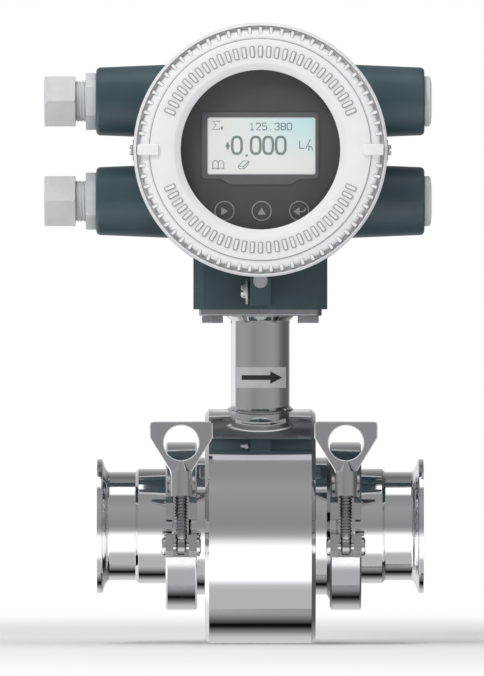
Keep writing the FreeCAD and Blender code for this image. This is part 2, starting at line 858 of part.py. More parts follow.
def make_neck_flange():
    body = make_body("neck_flange", (0, 0, S.flange_height))
    half = S.flange_side / 2
    outline = make_sketch(body, "flange_outline", "XY_Plane")
    rectangle(outline, -half, -half, half, half)
    pad(body, "flange_pad", outline, S.flange_plate)
    softened(body, "flange_corners", S.flange_corner, is_upright)
    softened(body, "flange_lower_edge", S.flange_edge, lambda edge: lies_at(edge, "Z", 0))
    holes = make_sketch(body, "flange_holes_outline", "XY_Plane")
    circle(holes, 0, 0, S.neck_radius - S.neck_wall)
    place_half = S.flange_bolt_spacing / 2
    for x in (-1, 1):
        for y in (-1, 1):
            circle(holes, x * place_half, y * place_half, S.flange_bolt_radius + S.thread_fit)
    pocket(body, "flange_holes", holes, S.flange_plate * 3, both_sides=True)
    node("neck_flange", body)


def make_flange_bolts():
    half = S.flange_bolt_spacing / 2
    bolts = []
    for number, (x, y) in enumerate(((-1, -1), (1, -1), (-1, 1), (1, 1)), 1):
        name = "flange_bolt_%d" % number
        at = (x * half, y * half, S.flange_height)
        head = hexagon(name + "_head", S.flange_bolt_flats, S.flange_bolt_head, at, "-Z")
        shank = cylinder(name + "_shank", S.flange_bolt_radius, S.flange_plate + S.flange_bolt_depth, at)
        bolts.append(fused(name, head, shank))
    node("flange_bolts", grouped("flange_bolts", *bolts))


def make_neck_seal():
    at = (0, 0, FLANGE_TOP)
    outside = cylinder("seal_outside", S.seal_radius, S.seal_thickness, at)
    inside = cylinder("seal_inside", S.seal_radius - S.seal_width, S.seal_thickness, at)
    node("neck_seal", cut("neck_seal", outside, inside))


def make_lead_bundle():
    start = YOKE_RADIUS + S.core_gap * 2
    stop = CONVERTER_HEIGHT - S.ledge_radius - S.lead_fit
    node("lead_bundle", cylinder("lead_bundle", S.lead_radius, stop - start, (0, 0, start)))


def make_label():
    at = (0, 0, S.label_height - S.label_width / 2)
    outside = cylinder("label_outside", S.neck_radius + S.label_gap + S.label_thickness, S.label_width, at)
    outside.Placement.Rotation = Rotation(Vector(0, 0, 1), S.label_turn.value - 90 - S.label_sweep.value / 2)
    bind(outside, "Angle", S.label_sweep)
    inside = cylinder("label_inside", S.neck_radius + S.label_gap, S.label_width, at)
    node("flow_arrow_label", cut("flow_arrow_label", outside, inside))


# Converter, whose pieces are placed on its own horizontal axis

CONVERTER = (0, 0, CONVERTER_HEIGHT)
BLOCK_BOTTOM = -S.block_drop
RIB_TOP = -S.drum_radius - S.rib_top_gap
EARTH_LEVEL = -S.drum_radius - S.earth_drop
COLLAR_RADIUS = S.drum_radius + S.collar_stand
LOCK_REACH = S.drum_radius + S.lock_pad_stand
LOCK_FRONT = S.lock_pad_inset - S.housing_front
LOCK_DEPTH = LOCK_FRONT + S.lock_pad_depth / 2


def make_housing():
    body = make_body("housing", CONVERTER)
    drum = make_sketch(body, "drum_section", "YZ_Plane")
    polygon(drum, [
        (-S.housing_front, 0),
        (-S.housing_front, COLLAR_RADIUS - 0.8),
        (0.8 - S.housing_front, COLLAR_RADIUS),
        (S.collar_length - S.housing_front, COLLAR_RADIUS),
        (S.collar_length - S.housing_front + 3, S.drum_radius),
        (S.housing_rear - S.collar_length - 3, S.drum_radius),
        (S.housing_rear - S.collar_length, COLLAR_RADIUS),
        (S.housing_rear - 0.8, COLLAR_RADIUS),
        (S.housing_rear, COLLAR_RADIUS - 0.8),
        (S.housing_rear, 0),
    ])
    revolve(body, "drum", drum)
    add_entries(body)
    add_block(body)
    add_front_rib(body)
    add_lock_pads(body)
    hollow_housing(body)
    node("housing", body)


def add_entries(body):
    for level in (1, -1):
        for side in (1, -1):
            name = "entry_%s_%s" % ("upper" if level > 0 else "lower", "right" if side > 0 else "left")
            section = make_sketch(body, name + "_section", "XZ_Plane",
                                  (0, level * S.entry_height, -S.entry_depth))
            root_radius = S.entry_radius + S.entry_taper * (S.entry_reach - S.entry_root)
            edge = S.entry_edge
            polygon(section, [
                (side * S.entry_root, 0),
                (side * S.entry_root, root_radius),
                (side * (S.entry_reach - edge), S.entry_radius + S.entry_taper * edge),
                (side * (S.entry_reach - edge * 0.3), S.entry_radius - edge * 0.3),
                (side * S.entry_reach, S.entry_radius - edge),
                (side * S.entry_reach, 0),
            ])
            revolve(body, name, section)


def add_block(body):
    half = S.block_width / 2
    outline = make_sketch(body, "block_outline", "XY_Plane", (0, 0, BLOCK_BOTTOM))
    polygon(outline, [
        (-half, S.block_edge - S.block_front),
        (S.block_edge - half, -S.block_front),
        (half - S.block_edge, -S.block_front),
        (half, S.block_edge - S.block_front),
        (half, S.block_front - S.block_edge),
        (half - S.block_edge, S.block_front),
        (S.block_edge - half, S.block_front),
        (-half, S.block_front - S.block_edge),
    ])
    pad(body, "block", outline, -BLOCK_BOTTOM - S.drum_radius * 0.75)


def add_front_rib(body):
    bottom = BLOCK_BOTTOM + S.rib_bottom
    length = S.rib_front - S.block_front + 2
    outline = make_sketch(body, "rib_outline", "XZ_Plane", (0, 0, S.block_front - 2))
    rectangle(outline, -S.rib_half_width, bottom, S.rib_half_width, RIB_TOP)
    pad(body, "rib_lower", outline, length)
    top = make_sketch(body, "rib_top_outline", "XZ_Plane", (0, 0, S.block_front - 2))
    circle(top, 0, RIB_TOP, S.rib_half_width)
    pad(body, "rib_rounded_top", top, length)
    web = make_sketch(body, "rib_web_outline", "XZ_Plane", (0, 0, S.block_front - 2))
    rectangle(web, -S.rib_web, RIB_TOP, S.rib_web, S.rib_web - S.drum_radius)
    pad(body, "rib_web_above", web, length)
    earth = make_sketch(body, "earth_pad_outline", "YZ_Plane", (0, 0, -S.rib_half_width - S.earth_pad))
    circle(earth, -S.earth_depth, EARTH_LEVEL, S.earth_pad_radius)
    pad(body, "earth_pad_boss", earth, S.earth_pad + 1)
    screw = make_sketch(body, "earth_hole_outline", "YZ_Plane", (0, 0, -S.rib_half_width - S.earth_pad))
    circle(screw, -S.earth_depth, EARTH_LEVEL, S.earth_screw_radius + S.thread_fit)
    pocket(body, "earth_hole", screw, S.earth_screw_length + 1, reverse=True)
    plug = make_sketch(body, "plug_hole_outline", "XZ_Plane", (0, 0, S.rib_front))
    circle(plug, 0, RIB_TOP, S.rib_plug_radius + S.rib_plug_groove)
    pocket(body, "plug_hole", plug, S.rib_plug_depth)


def add_lock_pads(body):
    half = S.lock_pad_height / 2
    outline = make_sketch(body, "lock_pad_outline", "YZ_Plane")
    rectangle(outline, LOCK_FRONT, -half, LOCK_FRONT + S.lock_pad_depth, half)
    pad(body, "lock_pads", outline, LOCK_REACH * 2, both_sides=True)


def hollow_housing(body):
    front = make_sketch(body, "front_room_section", "YZ_Plane")
    bore = S.thread_radius + S.thread_fit
    seat = S.thread_length + S.thread_relief
    polygon(front, [
        (-S.housing_front - 1, 0),
        (-S.housing_front - 1, bore),
        (seat - S.housing_front, bore),
        (seat - S.housing_front, S.cavity_radius),
        (-S.ledge_depth, S.cavity_radius),
        (-S.ledge_depth, S.ledge_radius),
        (-S.partition_front, S.ledge_radius),
        (-S.partition_front, 0),
    ])
    revolve(body, "front_room", front, kind="Groove")
    rear = make_sketch(body, "rear_room_section", "YZ_Plane")
    polygon(rear, [
        (S.housing_rear + 1, 0),
        (S.housing_rear + 1, bore),
        (S.housing_rear - seat, bore),
        (S.housing_rear - seat, S.cavity_radius),
        (S.partition_rear, S.cavity_radius),
        (S.partition_rear, 0),
    ])
    revolve(body, "rear_room", rear, kind="Groove")
    entries = make_sketch(body, "entry_holes_outline", "YZ_Plane")
    for level in (1, -1):
        circle(entries, S.entry_depth, level * S.entry_height, S.entry_thread_radius + S.thread_fit)
    pocket(body, "entry_holes", entries, S.entry_reach * 3, both_sides=True)
    locks = make_sketch(body, "lock_holes_outline", "YZ_Plane")
    circle(locks, LOCK_DEPTH, 0, S.lock_screw_radius + S.thread_fit)
    pocket(body, "lock_holes", locks, LOCK_REACH * 3, both_sides=True)
    # underneath: the way for the leads, the seal's groove and the bolts' threads
    room = make_sketch(body, "block_room_outline", "XY_Plane", (0, 0, BLOCK_BOTTOM))
    circle(room, 0, 0, S.block_room_radius)
    pocket(body, "block_room", room, S.block_room_height, reverse=True)
    way = make_sketch(body, "lead_way_outline", "XY_Plane", (0, 0, BLOCK_BOTTOM))
    circle(way, 0, 0, S.lead_radius + S.lead_fit)
    pocket(body, "lead_way", way, -BLOCK_BOTTOM - S.ledge_radius, reverse=True)
    seal = make_sketch(body, "seal_groove_outline", "XY_Plane", (0, 0, BLOCK_BOTTOM))
    circle(seal, 0, 0, S.seal_radius + S.thread_fit)
    circle(seal, 0, 0, S.seal_radius - S.seal_width - S.thread_fit)
    pocket(body, "seal_groove", seal, S.seal_thickness + S.thread_fit, reverse=True)
    bolts = make_sketch(body, "block_bolt_outline", "XY_Plane", (0, 0, BLOCK_BOTTOM))
    half = S.flange_bolt_spacing / 2
    for x in (-1, 1):
        for y in (-1, 1):
            circle(bolts, x * half, y * half, S.flange_bolt_radius + S.thread_fit)
    pocket(body, "block_bolt_holes", bolts, S.flange_bolt_depth + 1, reverse=True)


def add_cover_ribs(body, name, front, sign, width):
    # short radial ribs in two runs, with the lugs between them
    pitch = 360 / S.rib_count
    tilt = S.rib_first * pitch - 90
    plane_shift = (0, 0, sign * (front - S.groove_drop - 0.2))
    outline = make_sketch(body, name + "_rib_outline", "XZ_Plane", plane_shift, -tilt.value)
    half = width / 2
    for side in (1, -1):
        rectangle(outline, side * S.rib_inner, -half, side * S.rib_outer, half)
    rib = pad(body, name + "_rib", outline, S.rib_stand + 0.2, reverse=sign < 0)
    ring = add_feature(body, "PolarPattern", name + "_rib_ring")
    turning_axis = [part for part in body.Origin.OriginFeatures if part.Role == "Y_Axis"][0]
    ring.Originals = [rib]
    ring.Axis = (turning_axis, [""])
    run = S.rib_count / 2 - 2
    bind(ring, "Angle", (run - 1) * pitch)
    bind(ring, "Occurrences", run)
    body.Tip = ring


def add_cover_lugs(body, name, front, sign):
    half = S.lug_width / 2
    corner = S.lug_corner
    sink = S.groove_drop + 0.2
    outline = make_sketch(body, name + "_lug_outline", "XZ_Plane", (0, 0, sign * (front - sink)))
    for side in (1, -1):
        polygon(outline, [
            (side * S.lug_inner, corner - half),
            (side * (S.lug_inner + corner), -half),
            (side * (S.lug_outer - corner), -half),
            (side * S.lug_outer, corner - half),
            (side * S.lug_outer, half - corner),
            (side * (S.lug_outer - corner), half),
            (side * (S.lug_inner + corner), half),
            (side * S.lug_inner, half - corner),
        ])
    pad(body, name + "_lugs", outline, sink + S.lug_stand, reverse=sign < 0)


def make_front_cover():
    body = make_body("front_cover", CONVERTER)
    rear = -S.housing_front - S.cover_gap
    front = rear - S.cover_height
    glass_front = front + S.bevel_drop + S.window_lip
    glass_rear = glass_front + S.glass_thickness + S.glass_fit
    section = make_sketch(body, "front_cover_section", "YZ_Plane")
    polygon(section, [
        (glass_front, S.window_radius),
        (front + S.bevel_drop, S.window_radius),
        (front, S.bevel_radius),
        (front, S.face_radius),
        (front + S.slope_outer_drop, S.slope_outer_radius),
        (front + S.groove_drop, S.groove_radius),
        (front + S.groove_drop, S.rim_inner_radius),
        (front + S.rim_drop, S.rim_inner_radius),
        (front + S.rim_drop, S.cover_radius - S.cover_edge),
        (front + S.rim_drop + S.cover_edge, S.cover_radius),
        (rear, S.cover_radius),
        (rear, S.thread_radius),
        (rear + S.thread_length, S.thread_radius),
        (rear + S.thread_length, S.cavity_radius),
        (glass_rear, S.cavity_radius),
        (glass_rear, S.glass_radius + S.glass_fit),
        (glass_front, S.glass_radius + S.glass_fit),
    ])
    revolve(body, "front_cover_turned", section)
    add_ring_groove(body, "front_cover", rear)
    add_cover_ribs(body, "front_cover", -front, 1, S.rib_width)
    add_cover_lugs(body, "front_cover", -front, 1)
    node("front_cover", body)
    glass_at = (0, glass_front + S.glass_fit / 2, CONVERTER_HEIGHT)
    node("window_glass", cylinder("window_glass", S.glass_radius, S.glass_thickness, glass_at, "Y"))
    make_sealing_ring("front_o_ring", rear)


def make_rear_cover():
    body = make_body("rear_cover", CONVERTER)
    inner = S.housing_rear + S.cover_gap
    outer = inner + S.cover_height
    section = make_sketch(body, "rear_cover_section", "YZ_Plane")
    polygon(section, [
        (outer - S.rear_face_drop, 0),
        (outer - S.rear_face_drop, S.bevel_radius - 1),
        (outer, S.bevel_radius + 1),
        (outer, S.face_radius),
        (outer - S.slope_outer_drop, S.slope_outer_radius),
        (outer - S.groove_drop, S.groove_radius),
        (outer - S.groove_drop, S.rim_inner_radius),
        (outer - S.rim_drop, S.rim_inner_radius),
        (outer - S.rim_drop, S.cover_radius - S.cover_edge),
        (outer - S.rim_drop - S.cover_edge, S.cover_radius),
        (inner, S.cover_radius),
        (inner, S.thread_radius),
        (inner - S.thread_length, S.thread_radius),
        (inner - S.thread_length, S.cavity_radius),
        (outer - S.groove_drop * 1.6, S.cavity_radius),
        (outer - S.groove_drop * 1.6, 0),
    ])
    revolve(body, "rear_cover_turned", section)
    add_ring_groove(body, "rear_cover", inner)
    add_cover_ribs(body, "rear_cover", outer, -1, S.rear_rib_width)
    add_cover_lugs(body, "rear_cover", outer, -1)
    node("rear_cover", body)
    make_sealing_ring("rear_o_ring", inner)


def add_ring_groove(body, name, face):
    # the sealing ring lies in a groove of the cover's flange
    sign = -1 if face.value < 0 else 1
    half = S.ring_section / 2 + S.ring_fit
    groove = make_sketch(body, name + "_ring_groove_section", "YZ_Plane")
    rectangle(groove, face - sign, S.ring_radius - half,
              face + sign * (S.ring_section + S.ring_fit - S.cover_gap / 2), S.ring_radius + half)
    revolve(body, name + "_ring_groove", groove, kind="Groove")


def make_sealing_ring(name, face):
    # a ring of square section, which stands out of the cover by half of the gap to the housing
    sign = -1 if face.value < 0 else 1
    along = "-Y" if sign < 0 else "Y"
    at = (0, face - sign * S.cover_gap / 2, CONVERTER_HEIGHT)
    outside = cylinder(name + "_outside", S.ring_radius + S.ring_section / 2, S.ring_section, at, along)
    inside = cylinder(name + "_inside", S.ring_radius - S.ring_section / 2, S.ring_section, at, along)
    node(name, cut(name, outside, inside))


def make_face_plate():
    body = make_body("face_plate", CONVERTER)
    front = -S.face_depth
    inner = S.face_plate_radius - S.face_skirt_wall
    section = make_sketch(body, "face_plate_section", "YZ_Plane")
    polygon(section, [
        (front, 0),
        (front, S.face_plate_radius),
        (-S.ledge_depth, S.face_plate_radius),
        (-S.ledge_depth, inner),
        (front + S.face_thickness, inner),
        (front + S.face_thickness, 0),
    ])
    revolve(body, "face_plate_turned", section)
    window = make_sketch(body, "face_window_outline", "XZ_Plane", (0, 0, S.face_depth + 1))
    left, bottom, right, top = panel_corners(S.panel_fit)
    rectangle(window, left, bottom, right, top)
    pocket(body, "face_window", window, S.face_thickness + 2)
    node("face_plate", body)


def panel_corners(fit):
    half = S.display_width / 2 - S.panel_margin + fit
    half_height = S.display_height / 2 - S.panel_margin + fit
    return (-half, S.display_rise - half_height, half, S.display_rise + half_height)


def make_display():
    body = make_body("display_frame", CONVERTER)
    half = S.display_width / 2
    half_height = S.display_height / 2
    tab = S.display_tab_width / 2
    low = S.display_rise - half_height
    high = S.display_rise + half_height
    outline = make_sketch(body, "display_frame_outline", "XZ_Plane", (0, 0, S.face_depth))
    polygon(outline, [
        (-half, low),
        (-tab - S.display_tab_slope, low),
        (-tab, low - S.display_tab_height),
        (tab, low - S.display_tab_height),
        (tab + S.display_tab_slope, low),
        (half, low),
        (half, high),
        (-half, high),
    ])
    left, bottom, right, top = panel_corners(S.panel_fit)
    rectangle(outline, left, bottom, right, top)
    pad(body, "display_frame_pad", outline, S.frame_thickness)
    softened(body, "display_frame_corners", S.display_corner,
             lambda edge: edge.BoundBox.XLength < 0.01 and edge.BoundBox.ZLength < 0.01
             and abs(abs(edge.BoundBox.XMin) - half.value) < 0.01)
    node("display_frame", body)
    panel = make_body("display_panel", CONVERTER)
    face = make_sketch(panel, "display_panel_outline", "XZ_Plane",
                       (0, 0, S.face_depth + S.frame_thickness / 2))
    left, bottom, right, top = panel_corners(as_size(0))
    rectangle(face, left, bottom, right, top)
    depth = S.face_depth + S.frame_thickness / 2 - S.display_board_depth - S.board_thickness
    pad(panel, "display_panel_pad", face, depth, reverse=True)
    node("display_panel", panel)


def make_boards():
    inner = S.face_plate_radius - S.face_skirt_wall
    display = cylinder("display_board", inner - S.board_fit, S.board_thickness,
                       (0, -S.display_board_depth, CONVERTER_HEIGHT), "-Y")
    node("display_board", display)
    main = cylinder("main_board", S.ledge_radius - S.board_fit, S.board_thickness,
                    (0, -S.main_board_depth, CONVERTER_HEIGHT), "-Y")
    node("main_board", main)


def make_terminal_block():
    # stands on the partition in the rear room, with a row of wire openings facing the rear
    body = make_body("terminal_block", CONVERTER)
    half = S.terminal_width / 2
    half_height = S.terminal_height / 2
    outline = make_sketch(body, "terminal_outline", "XZ_Plane", (0, 0, -S.partition_rear))
    rectangle(outline, -half, -half_height, half, half_height)
    pad(body, "terminal_pad", outline, S.terminal_depth, reverse=True)
    wires = make_sketch(body, "terminal_holes_outline", "XZ_Plane", (0, 0, -S.partition_rear - S.terminal_depth))
    count = int(round(S.terminal_count.value))
    for number in range(count):
        x = S.terminal_pitch * (number - (count - 1) / 2)
        for level in (-1, 1):
            circle(wires, x, level * S.terminal_height / 4, S.terminal_hole_radius)
    pocket(body, "terminal_holes", wires, S.terminal_hole_depth, reverse=True)
    node("terminal_block", body)


# Cable entries and small fittings

def make_gland(level_name, level):
    height = CONVERTER_HEIGHT + level * S.entry_height
    start = -S.entry_reach
    body_name = "gland_body_" + level_name
    at = (start, S.entry_depth, height)
    stem_length = S.gland_stem
    collar = hexagon(body_name + "_collar", S.gland_flats, S.gland_collar, at, "-X")
    stem = cylinder(body_name + "_stem", S.entry_thread_radius, stem_length, at, "-X")
    spigot = cylinder(body_name + "_spigot", S.entry_thread_radius, S.gland_spigot, at, "X")
    bore_start = (start + S.gland_spigot + 1, S.entry_depth, height)
    bore = cylinder(body_name + "_bore", S.gland_bore_radius, S.gland_spigot + stem_length + 2,
                    bore_start, "-X")
    node(body_name, cut(body_name, fused(body_name + "_solid", collar, stem, spigot), bore))
    make_gland_nut("gland_nut_" + level_name, height)
    make_gland_seal("gland_seal_" + level_name, height)


def make_gland_nut(name, height):
    # a dome nut: a hexagon whose outer end is turned round
    start = -S.entry_reach - S.gland_collar - S.gland_thread_shown
    at = (start, S.entry_depth, height)
    blank = hexagon(name + "_hexagon", S.gland_flats, S.nut_length, at, "-X")
    turned = make_body(name + "_turning", at)
    outline = make_sketch(turned, name + "_turning_section", "XZ_Plane")
    corner = S.gland_flats / math.sqrt(3)
    polygon(outline, [
        (0, 0),
        (0, corner - 0.6),
        (-0.6, corner),
        (S.nut_round - S.nut_length, corner),
        (S.nut_round * 0.3 - S.nut_length, corner - S.nut_round * 0.3),
        (-S.nut_length, corner - S.nut_round),
        (-S.nut_length, 0),
    ])
    revolve(turned, name + "_turned", outline)
    rounded = DOC.addObject("Part::Common", name + "_rounded")
    rounded.Base = blank
    rounded.Tool = turned
    room = cylinder(name + "_room", S.entry_thread_radius + S.running_fit * 2,
                    S.nut_length - S.nut_end_wall, at, "-X")
    mouth = cylinder(name + "_mouth", S.nut_mouth_radius, S.nut_length * 2, at, "-X")
    node(name, cut(name, rounded, room, mouth))


def make_gland_seal(name, height):
    # the rubber ring lies between the stem's end and the nut's end wall
    start = -S.entry_reach - S.gland_stem - S.seal_end_gap
    stop = -S.entry_reach - S.gland_collar - S.gland_thread_shown - S.nut_length + S.nut_end_wall + S.seal_end_gap
    at = (start, S.entry_depth, height)
    outside = cylinder(name + "_outside", S.entry_thread_radius - S.running_fit, start - stop, at, "-X")
    inside = cylinder(name + "_inside", S.seal_bore_radius, start - stop, at, "-X")
    node(name, cut(name, outside, inside))


def make_blanking_plug(name, level):
    height = CONVERTER_HEIGHT + level * S.entry_height
    body = make_body(name + "_blank", (S.entry_reach, S.entry_depth, height))
    section = make_sketch(body, name + "_section", "XZ_Plane")
    polygon(section, [
        (-S.gland_spigot, 0),
        (-S.gland_spigot, S.entry_thread_radius),
        (0, S.entry_thread_radius),
        (0, S.plug_radius),
        (S.plug_edge_height, S.plug_radius),
        (S.plug_edge_height + S.plug_dome * 0.7, S.plug_radius - 1.4),
        (S.plug_edge_height + S.plug_dome, S.plug_radius - 4),
        (S.plug_edge_height + S.plug_dome, 0),
    ])
    revolve(body, name + "_turned", section)
    key = hexagon(name + "_key", S.plug_key_flats, S.plug_key_depth * 2,
                  (S.entry_reach + S.plug_edge_height + S.plug_dome - S.plug_key_depth, S.entry_depth,
                   height), "X")
    node(name, cut(name, body, key))


def make_earth_screw():
    height = CONVERTER_HEIGHT + EARTH_LEVEL
    pad_face = -S.rib_half_width - S.earth_pad
    washer_at = (pad_face, -S.earth_depth, height)
    washer = cylinder("earth_washer_outside", S.earth_washer_radius, S.earth_washer_height, washer_at, "-X")
    hole = cylinder("earth_washer_hole", S.earth_screw_radius + S.electrode_fit, S.earth_washer_height,
                    washer_at, "-X")
    node("earth_washer", cut("earth_washer", washer, hole))
    head_at = (pad_face - S.earth_washer_height, -S.earth_depth, height)
    node("earth_screw", pan_screw("earth_screw", head_at, "-X", S.earth_head_radius, S.earth_head_height,
                                  S.earth_screw_radius, S.earth_screw_length + S.earth_washer_height))


def pan_screw(name, at, along, head_radius, head_height, radius, length):
    # a low head with a bevelled top and a straight slot, and its shank behind it
    behind = {"X": "-X", "-X": "X"}[along]
    sign = 1 if along == "X" else -1
    low = cylinder(name + "_head", head_radius, head_height * 0.6, at, along)
    upper_at = (at[0] + sign * head_height * 0.6, at[1], at[2])
    upper = cone(name + "_crown", head_radius, head_radius * 0.78, head_height * 0.4, upper_at, along)
    shank = cylinder(name + "_shank", radius, length, at, behind)
    slot = DOC.addObject("Part::Box", name + "_slot")
    width = head_radius * 0.3
    bind(slot, "Length", head_height)
    bind(slot, "Width", head_radius * 3)
    bind(slot, "Height", width)
    slot_x = at[0] + head_height * 0.55 if sign > 0 else at[0] - head_height * 1.55
    place(slot, (slot_x, at[1] - head_radius * 1.5, at[2] - width / 2))
    return cut(name, fused(name + "_solid", low, upper, shank), slot)


def make_rib_plug():
    length = S.rib_plug_depth - S.rib_plug_recess - S.rib_plug_groove
    at = (0, S.rib_plug_recess - S.rib_front, CONVERTER_HEIGHT + RIB_TOP)
    node("boss_plug", cylinder("boss_plug", S.rib_plug_radius, length, at, "Y"))


def make_lock_screws():
    screws = []
    for along, sign in (("X", 1), ("-X", -1)):
        at = (sign * LOCK_REACH, LOCK_DEPTH, CONVERTER_HEIGHT)
        name = "lock_screw_right" if sign > 0 else "lock_screw_left"
        screws.append(pan_screw(name, at, along, S.lock_head_radius, S.lock_head_height,
                                S.lock_screw_radius, S.lock_screw_length))
    node("lock_screws", grouped("lock_screws", *screws))


def make_all():
    make_sheet()
    make_measuring_tube()
    make_liner()
    make_electrode("electrode_front", "-Y")
    make_electrode("electrode_back", "Y")
    make_magnet("top", "Z")
    make_magnet("bottom", "-Z")
    make_yoke()
    make_barrel_shell()
    make_end_plate("end_plate_left", -1)
    make_end_plate("end_plate_right", 1)
    for side, sign, joint in (("left", -1, S.joint_left), ("right", 1, S.joint_right)):
        at = sign * joint
        make_adapter("adapter_" + side, sign, joint)
        make_clamp_gasket("clamp_gasket_" + side, at)
        make_clamp_half("clamp_upper_" + side, at, 1)
        make_clamp_half("clamp_lower_" + side, at, -1)
        make_pin("hinge_pin_" + side, at, S.hinge_offset, 0)
        make_pin("pivot_pin_" + side, at, -S.bolt_offset, -S.pivot_drop)
        make_swivel_bolt("swivel_bolt_" + side, at)
        make_wing_nut("wing_nut_" + side, at)
    make_neck_tube()
    make_neck_flange()
    make_flange_bolts()
    make_neck_seal()
    make_lead_bundle()
    make_label()
    make_housing()
    make_front_cover()
    make_rear_cover()
    make_face_plate()
    make_display()
    make_boards()
    make_terminal_block()
    for level_name, level in (("upper", 1), ("lower", -1)):
        make_gland(level_name, level)
        make_blanking_plug("blanking_plug_" + level_name, level)
    make_earth_screw()
    make_rib_plug()
    make_lock_screws()
    DOC.recompute()


def check_all():
    for thing in DOC.Objects:
        if "Invalid" in thing.State or "Error" in thing.State:
            raise RuntimeError("%s failed: %s" % (thing.Name, thing.State))
    for name, thing in NODES.items():
        if thing.Shape.isNull() or not thing.Shape.isValid():
            raise RuntimeError(name + " has no valid shape")


def write_all():
    os.makedirs("parts", exist_ok=True)
    for name, thing in NODES.items():
        thing.Shape.exportStep("parts/%s.step" % name)


make_all()
check_all()
write_all()
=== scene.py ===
import bmesh
import bpy
import json
import math
from mathutils import Matrix, Vector

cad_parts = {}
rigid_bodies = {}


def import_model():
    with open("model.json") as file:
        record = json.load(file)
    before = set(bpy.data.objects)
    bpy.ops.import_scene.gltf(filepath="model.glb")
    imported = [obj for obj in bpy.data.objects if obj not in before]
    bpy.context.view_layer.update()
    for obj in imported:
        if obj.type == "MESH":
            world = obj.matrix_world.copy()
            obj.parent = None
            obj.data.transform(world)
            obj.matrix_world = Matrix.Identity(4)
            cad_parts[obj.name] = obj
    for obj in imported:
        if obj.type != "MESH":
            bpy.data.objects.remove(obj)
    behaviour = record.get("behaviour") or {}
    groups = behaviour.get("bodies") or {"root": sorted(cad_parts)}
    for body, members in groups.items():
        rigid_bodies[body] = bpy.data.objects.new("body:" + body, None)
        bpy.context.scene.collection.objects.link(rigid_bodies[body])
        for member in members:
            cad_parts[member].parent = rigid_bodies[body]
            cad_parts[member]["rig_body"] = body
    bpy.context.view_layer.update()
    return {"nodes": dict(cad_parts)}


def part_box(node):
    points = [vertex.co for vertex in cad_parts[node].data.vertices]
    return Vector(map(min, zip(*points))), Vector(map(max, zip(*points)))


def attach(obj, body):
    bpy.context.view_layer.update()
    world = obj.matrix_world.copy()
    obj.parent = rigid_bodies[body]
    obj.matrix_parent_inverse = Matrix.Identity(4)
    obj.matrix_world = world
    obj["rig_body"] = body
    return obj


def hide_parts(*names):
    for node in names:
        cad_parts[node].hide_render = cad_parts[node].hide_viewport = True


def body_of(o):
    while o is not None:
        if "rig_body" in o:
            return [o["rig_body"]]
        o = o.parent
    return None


# Electromagnetic flow meter with hygienic clamp ends and a round converter.
# Metres, as in the frame; values named in millimetres are turned by mm.
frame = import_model()
cadNodes = frame["nodes"]
slotOf = {name: obj.material_slots[0].material.name for name, obj in cadNodes.items()}
mm = 0.001


# Small helpers for materials

def linearColour(code):
    channels = [int(code[i:i + 2], 16) / 255 for i in (1, 3, 5)]
    return [c / 12.92 if c <= 0.04045 else ((c + 0.055) / 1.055) ** 2.4 for c in channels] + [1.0]


def addNode(tree, kind, links=(), **settings):
    # links: (input name or number, socket or value) pairs
    node = tree.nodes.new("ShaderNode" + kind)
    for name, value in settings.items():
        setattr(node, name, value)
    for socket, source in links:
        if isinstance(source, bpy.types.NodeSocket):
            tree.links.new(source, node.inputs[socket])
        else:
            node.inputs[socket].default_value = source
    return node


def newMaterial(name, colour, values):
    material = bpy.data.materials.new(name)
    material.use_nodes = True
    shader = material.node_tree.nodes["Principled BSDF"]
    shader.inputs["Base Color"].default_value = linearColour(colour)
    for socket, value in values.items():
        shader.inputs[socket].default_value = value
    return material


noiseRange = (0.3, 0.7)  # nearly all of a noise texture's values lie between these
metal = {"Metallic": 1.0}
coating = {"IOR": 1.5}
moulding = {"IOR": 1.53}


def grained(name, colour, values, **grain):
    # grain, in mm: size, how far it is stretched on each axis, relief; and the range of roughness and colour
    material = newMaterial(name, colour, values)
    tree = material.node_tree
    shader = tree.nodes["Principled BSDF"]
    coords = addNode(tree, "TexCoord")
    perMetre = [1000 / (grain["size"] * s) for s in grain.get("stretch", (1, 1, 1))]
    mapping = addNode(tree, "Mapping", [("Vector", coords.outputs["Object"]), ("Scale", perMetre)])
    noise = addNode(tree, "TexNoise", [("Vector", mapping.outputs[0]), ("Scale", 1.0),
                                       ("Detail", grain.get("detail", 3.0)), ("Roughness", 0.55)])
    spread = addNode(tree, "MapRange", [(0, noise.outputs[0]), (1, noiseRange[0]), (2, noiseRange[1]),
                                        (3, grain["roughness"][0]), (4, grain["roughness"][1])])
    tree.links.new(spread.outputs[0], shader.inputs["Roughness"])
    if grain.get("relief"):
        bump = addNode(tree, "Bump", [("Height", noise.outputs[0]), ("Strength", 1.0),
                                      ("Distance", grain["relief"] * mm)])
        tree.links.new(bump.outputs[0], shader.inputs["Normal"])
    if grain.get("colours"):
        cloud = addNode(tree, "TexNoise", [("Vector", coords.outputs["Object"]),
                                           ("Scale", 1000 / grain["cloud"]), ("Detail", 4.0)])
        ramp = addNode(tree, "ValToRGB", [(0, cloud.outputs[0])])
        for element, place, code in zip(ramp.color_ramp.elements, noiseRange, grain["colours"]):
            element.position = place
            element.color = linearColour(code)
        tree.links.new(ramp.outputs[0], shader.inputs["Base Color"])
    return material


# Materials, each from what the real one is

def makeMirrorSteel(name, lay):
    # 316L stainless, turned and then polished to a mirror: clear reflections, a trace of lathe lay
    return grained(name, "#e9e9eb", metal, size=0.5, stretch=lay, roughness=(0.02, 0.06), relief=0.0002,
                   detail=2.0)


def makeCastSteel():
    # investment-cast stainless, tumbled and buffed: softer reflections, faint waviness
    return grained("castStainless", "#e0e0e3", metal, size=2.5, roughness=(0.07, 0.14), relief=0.0012,
                   detail=2.0)


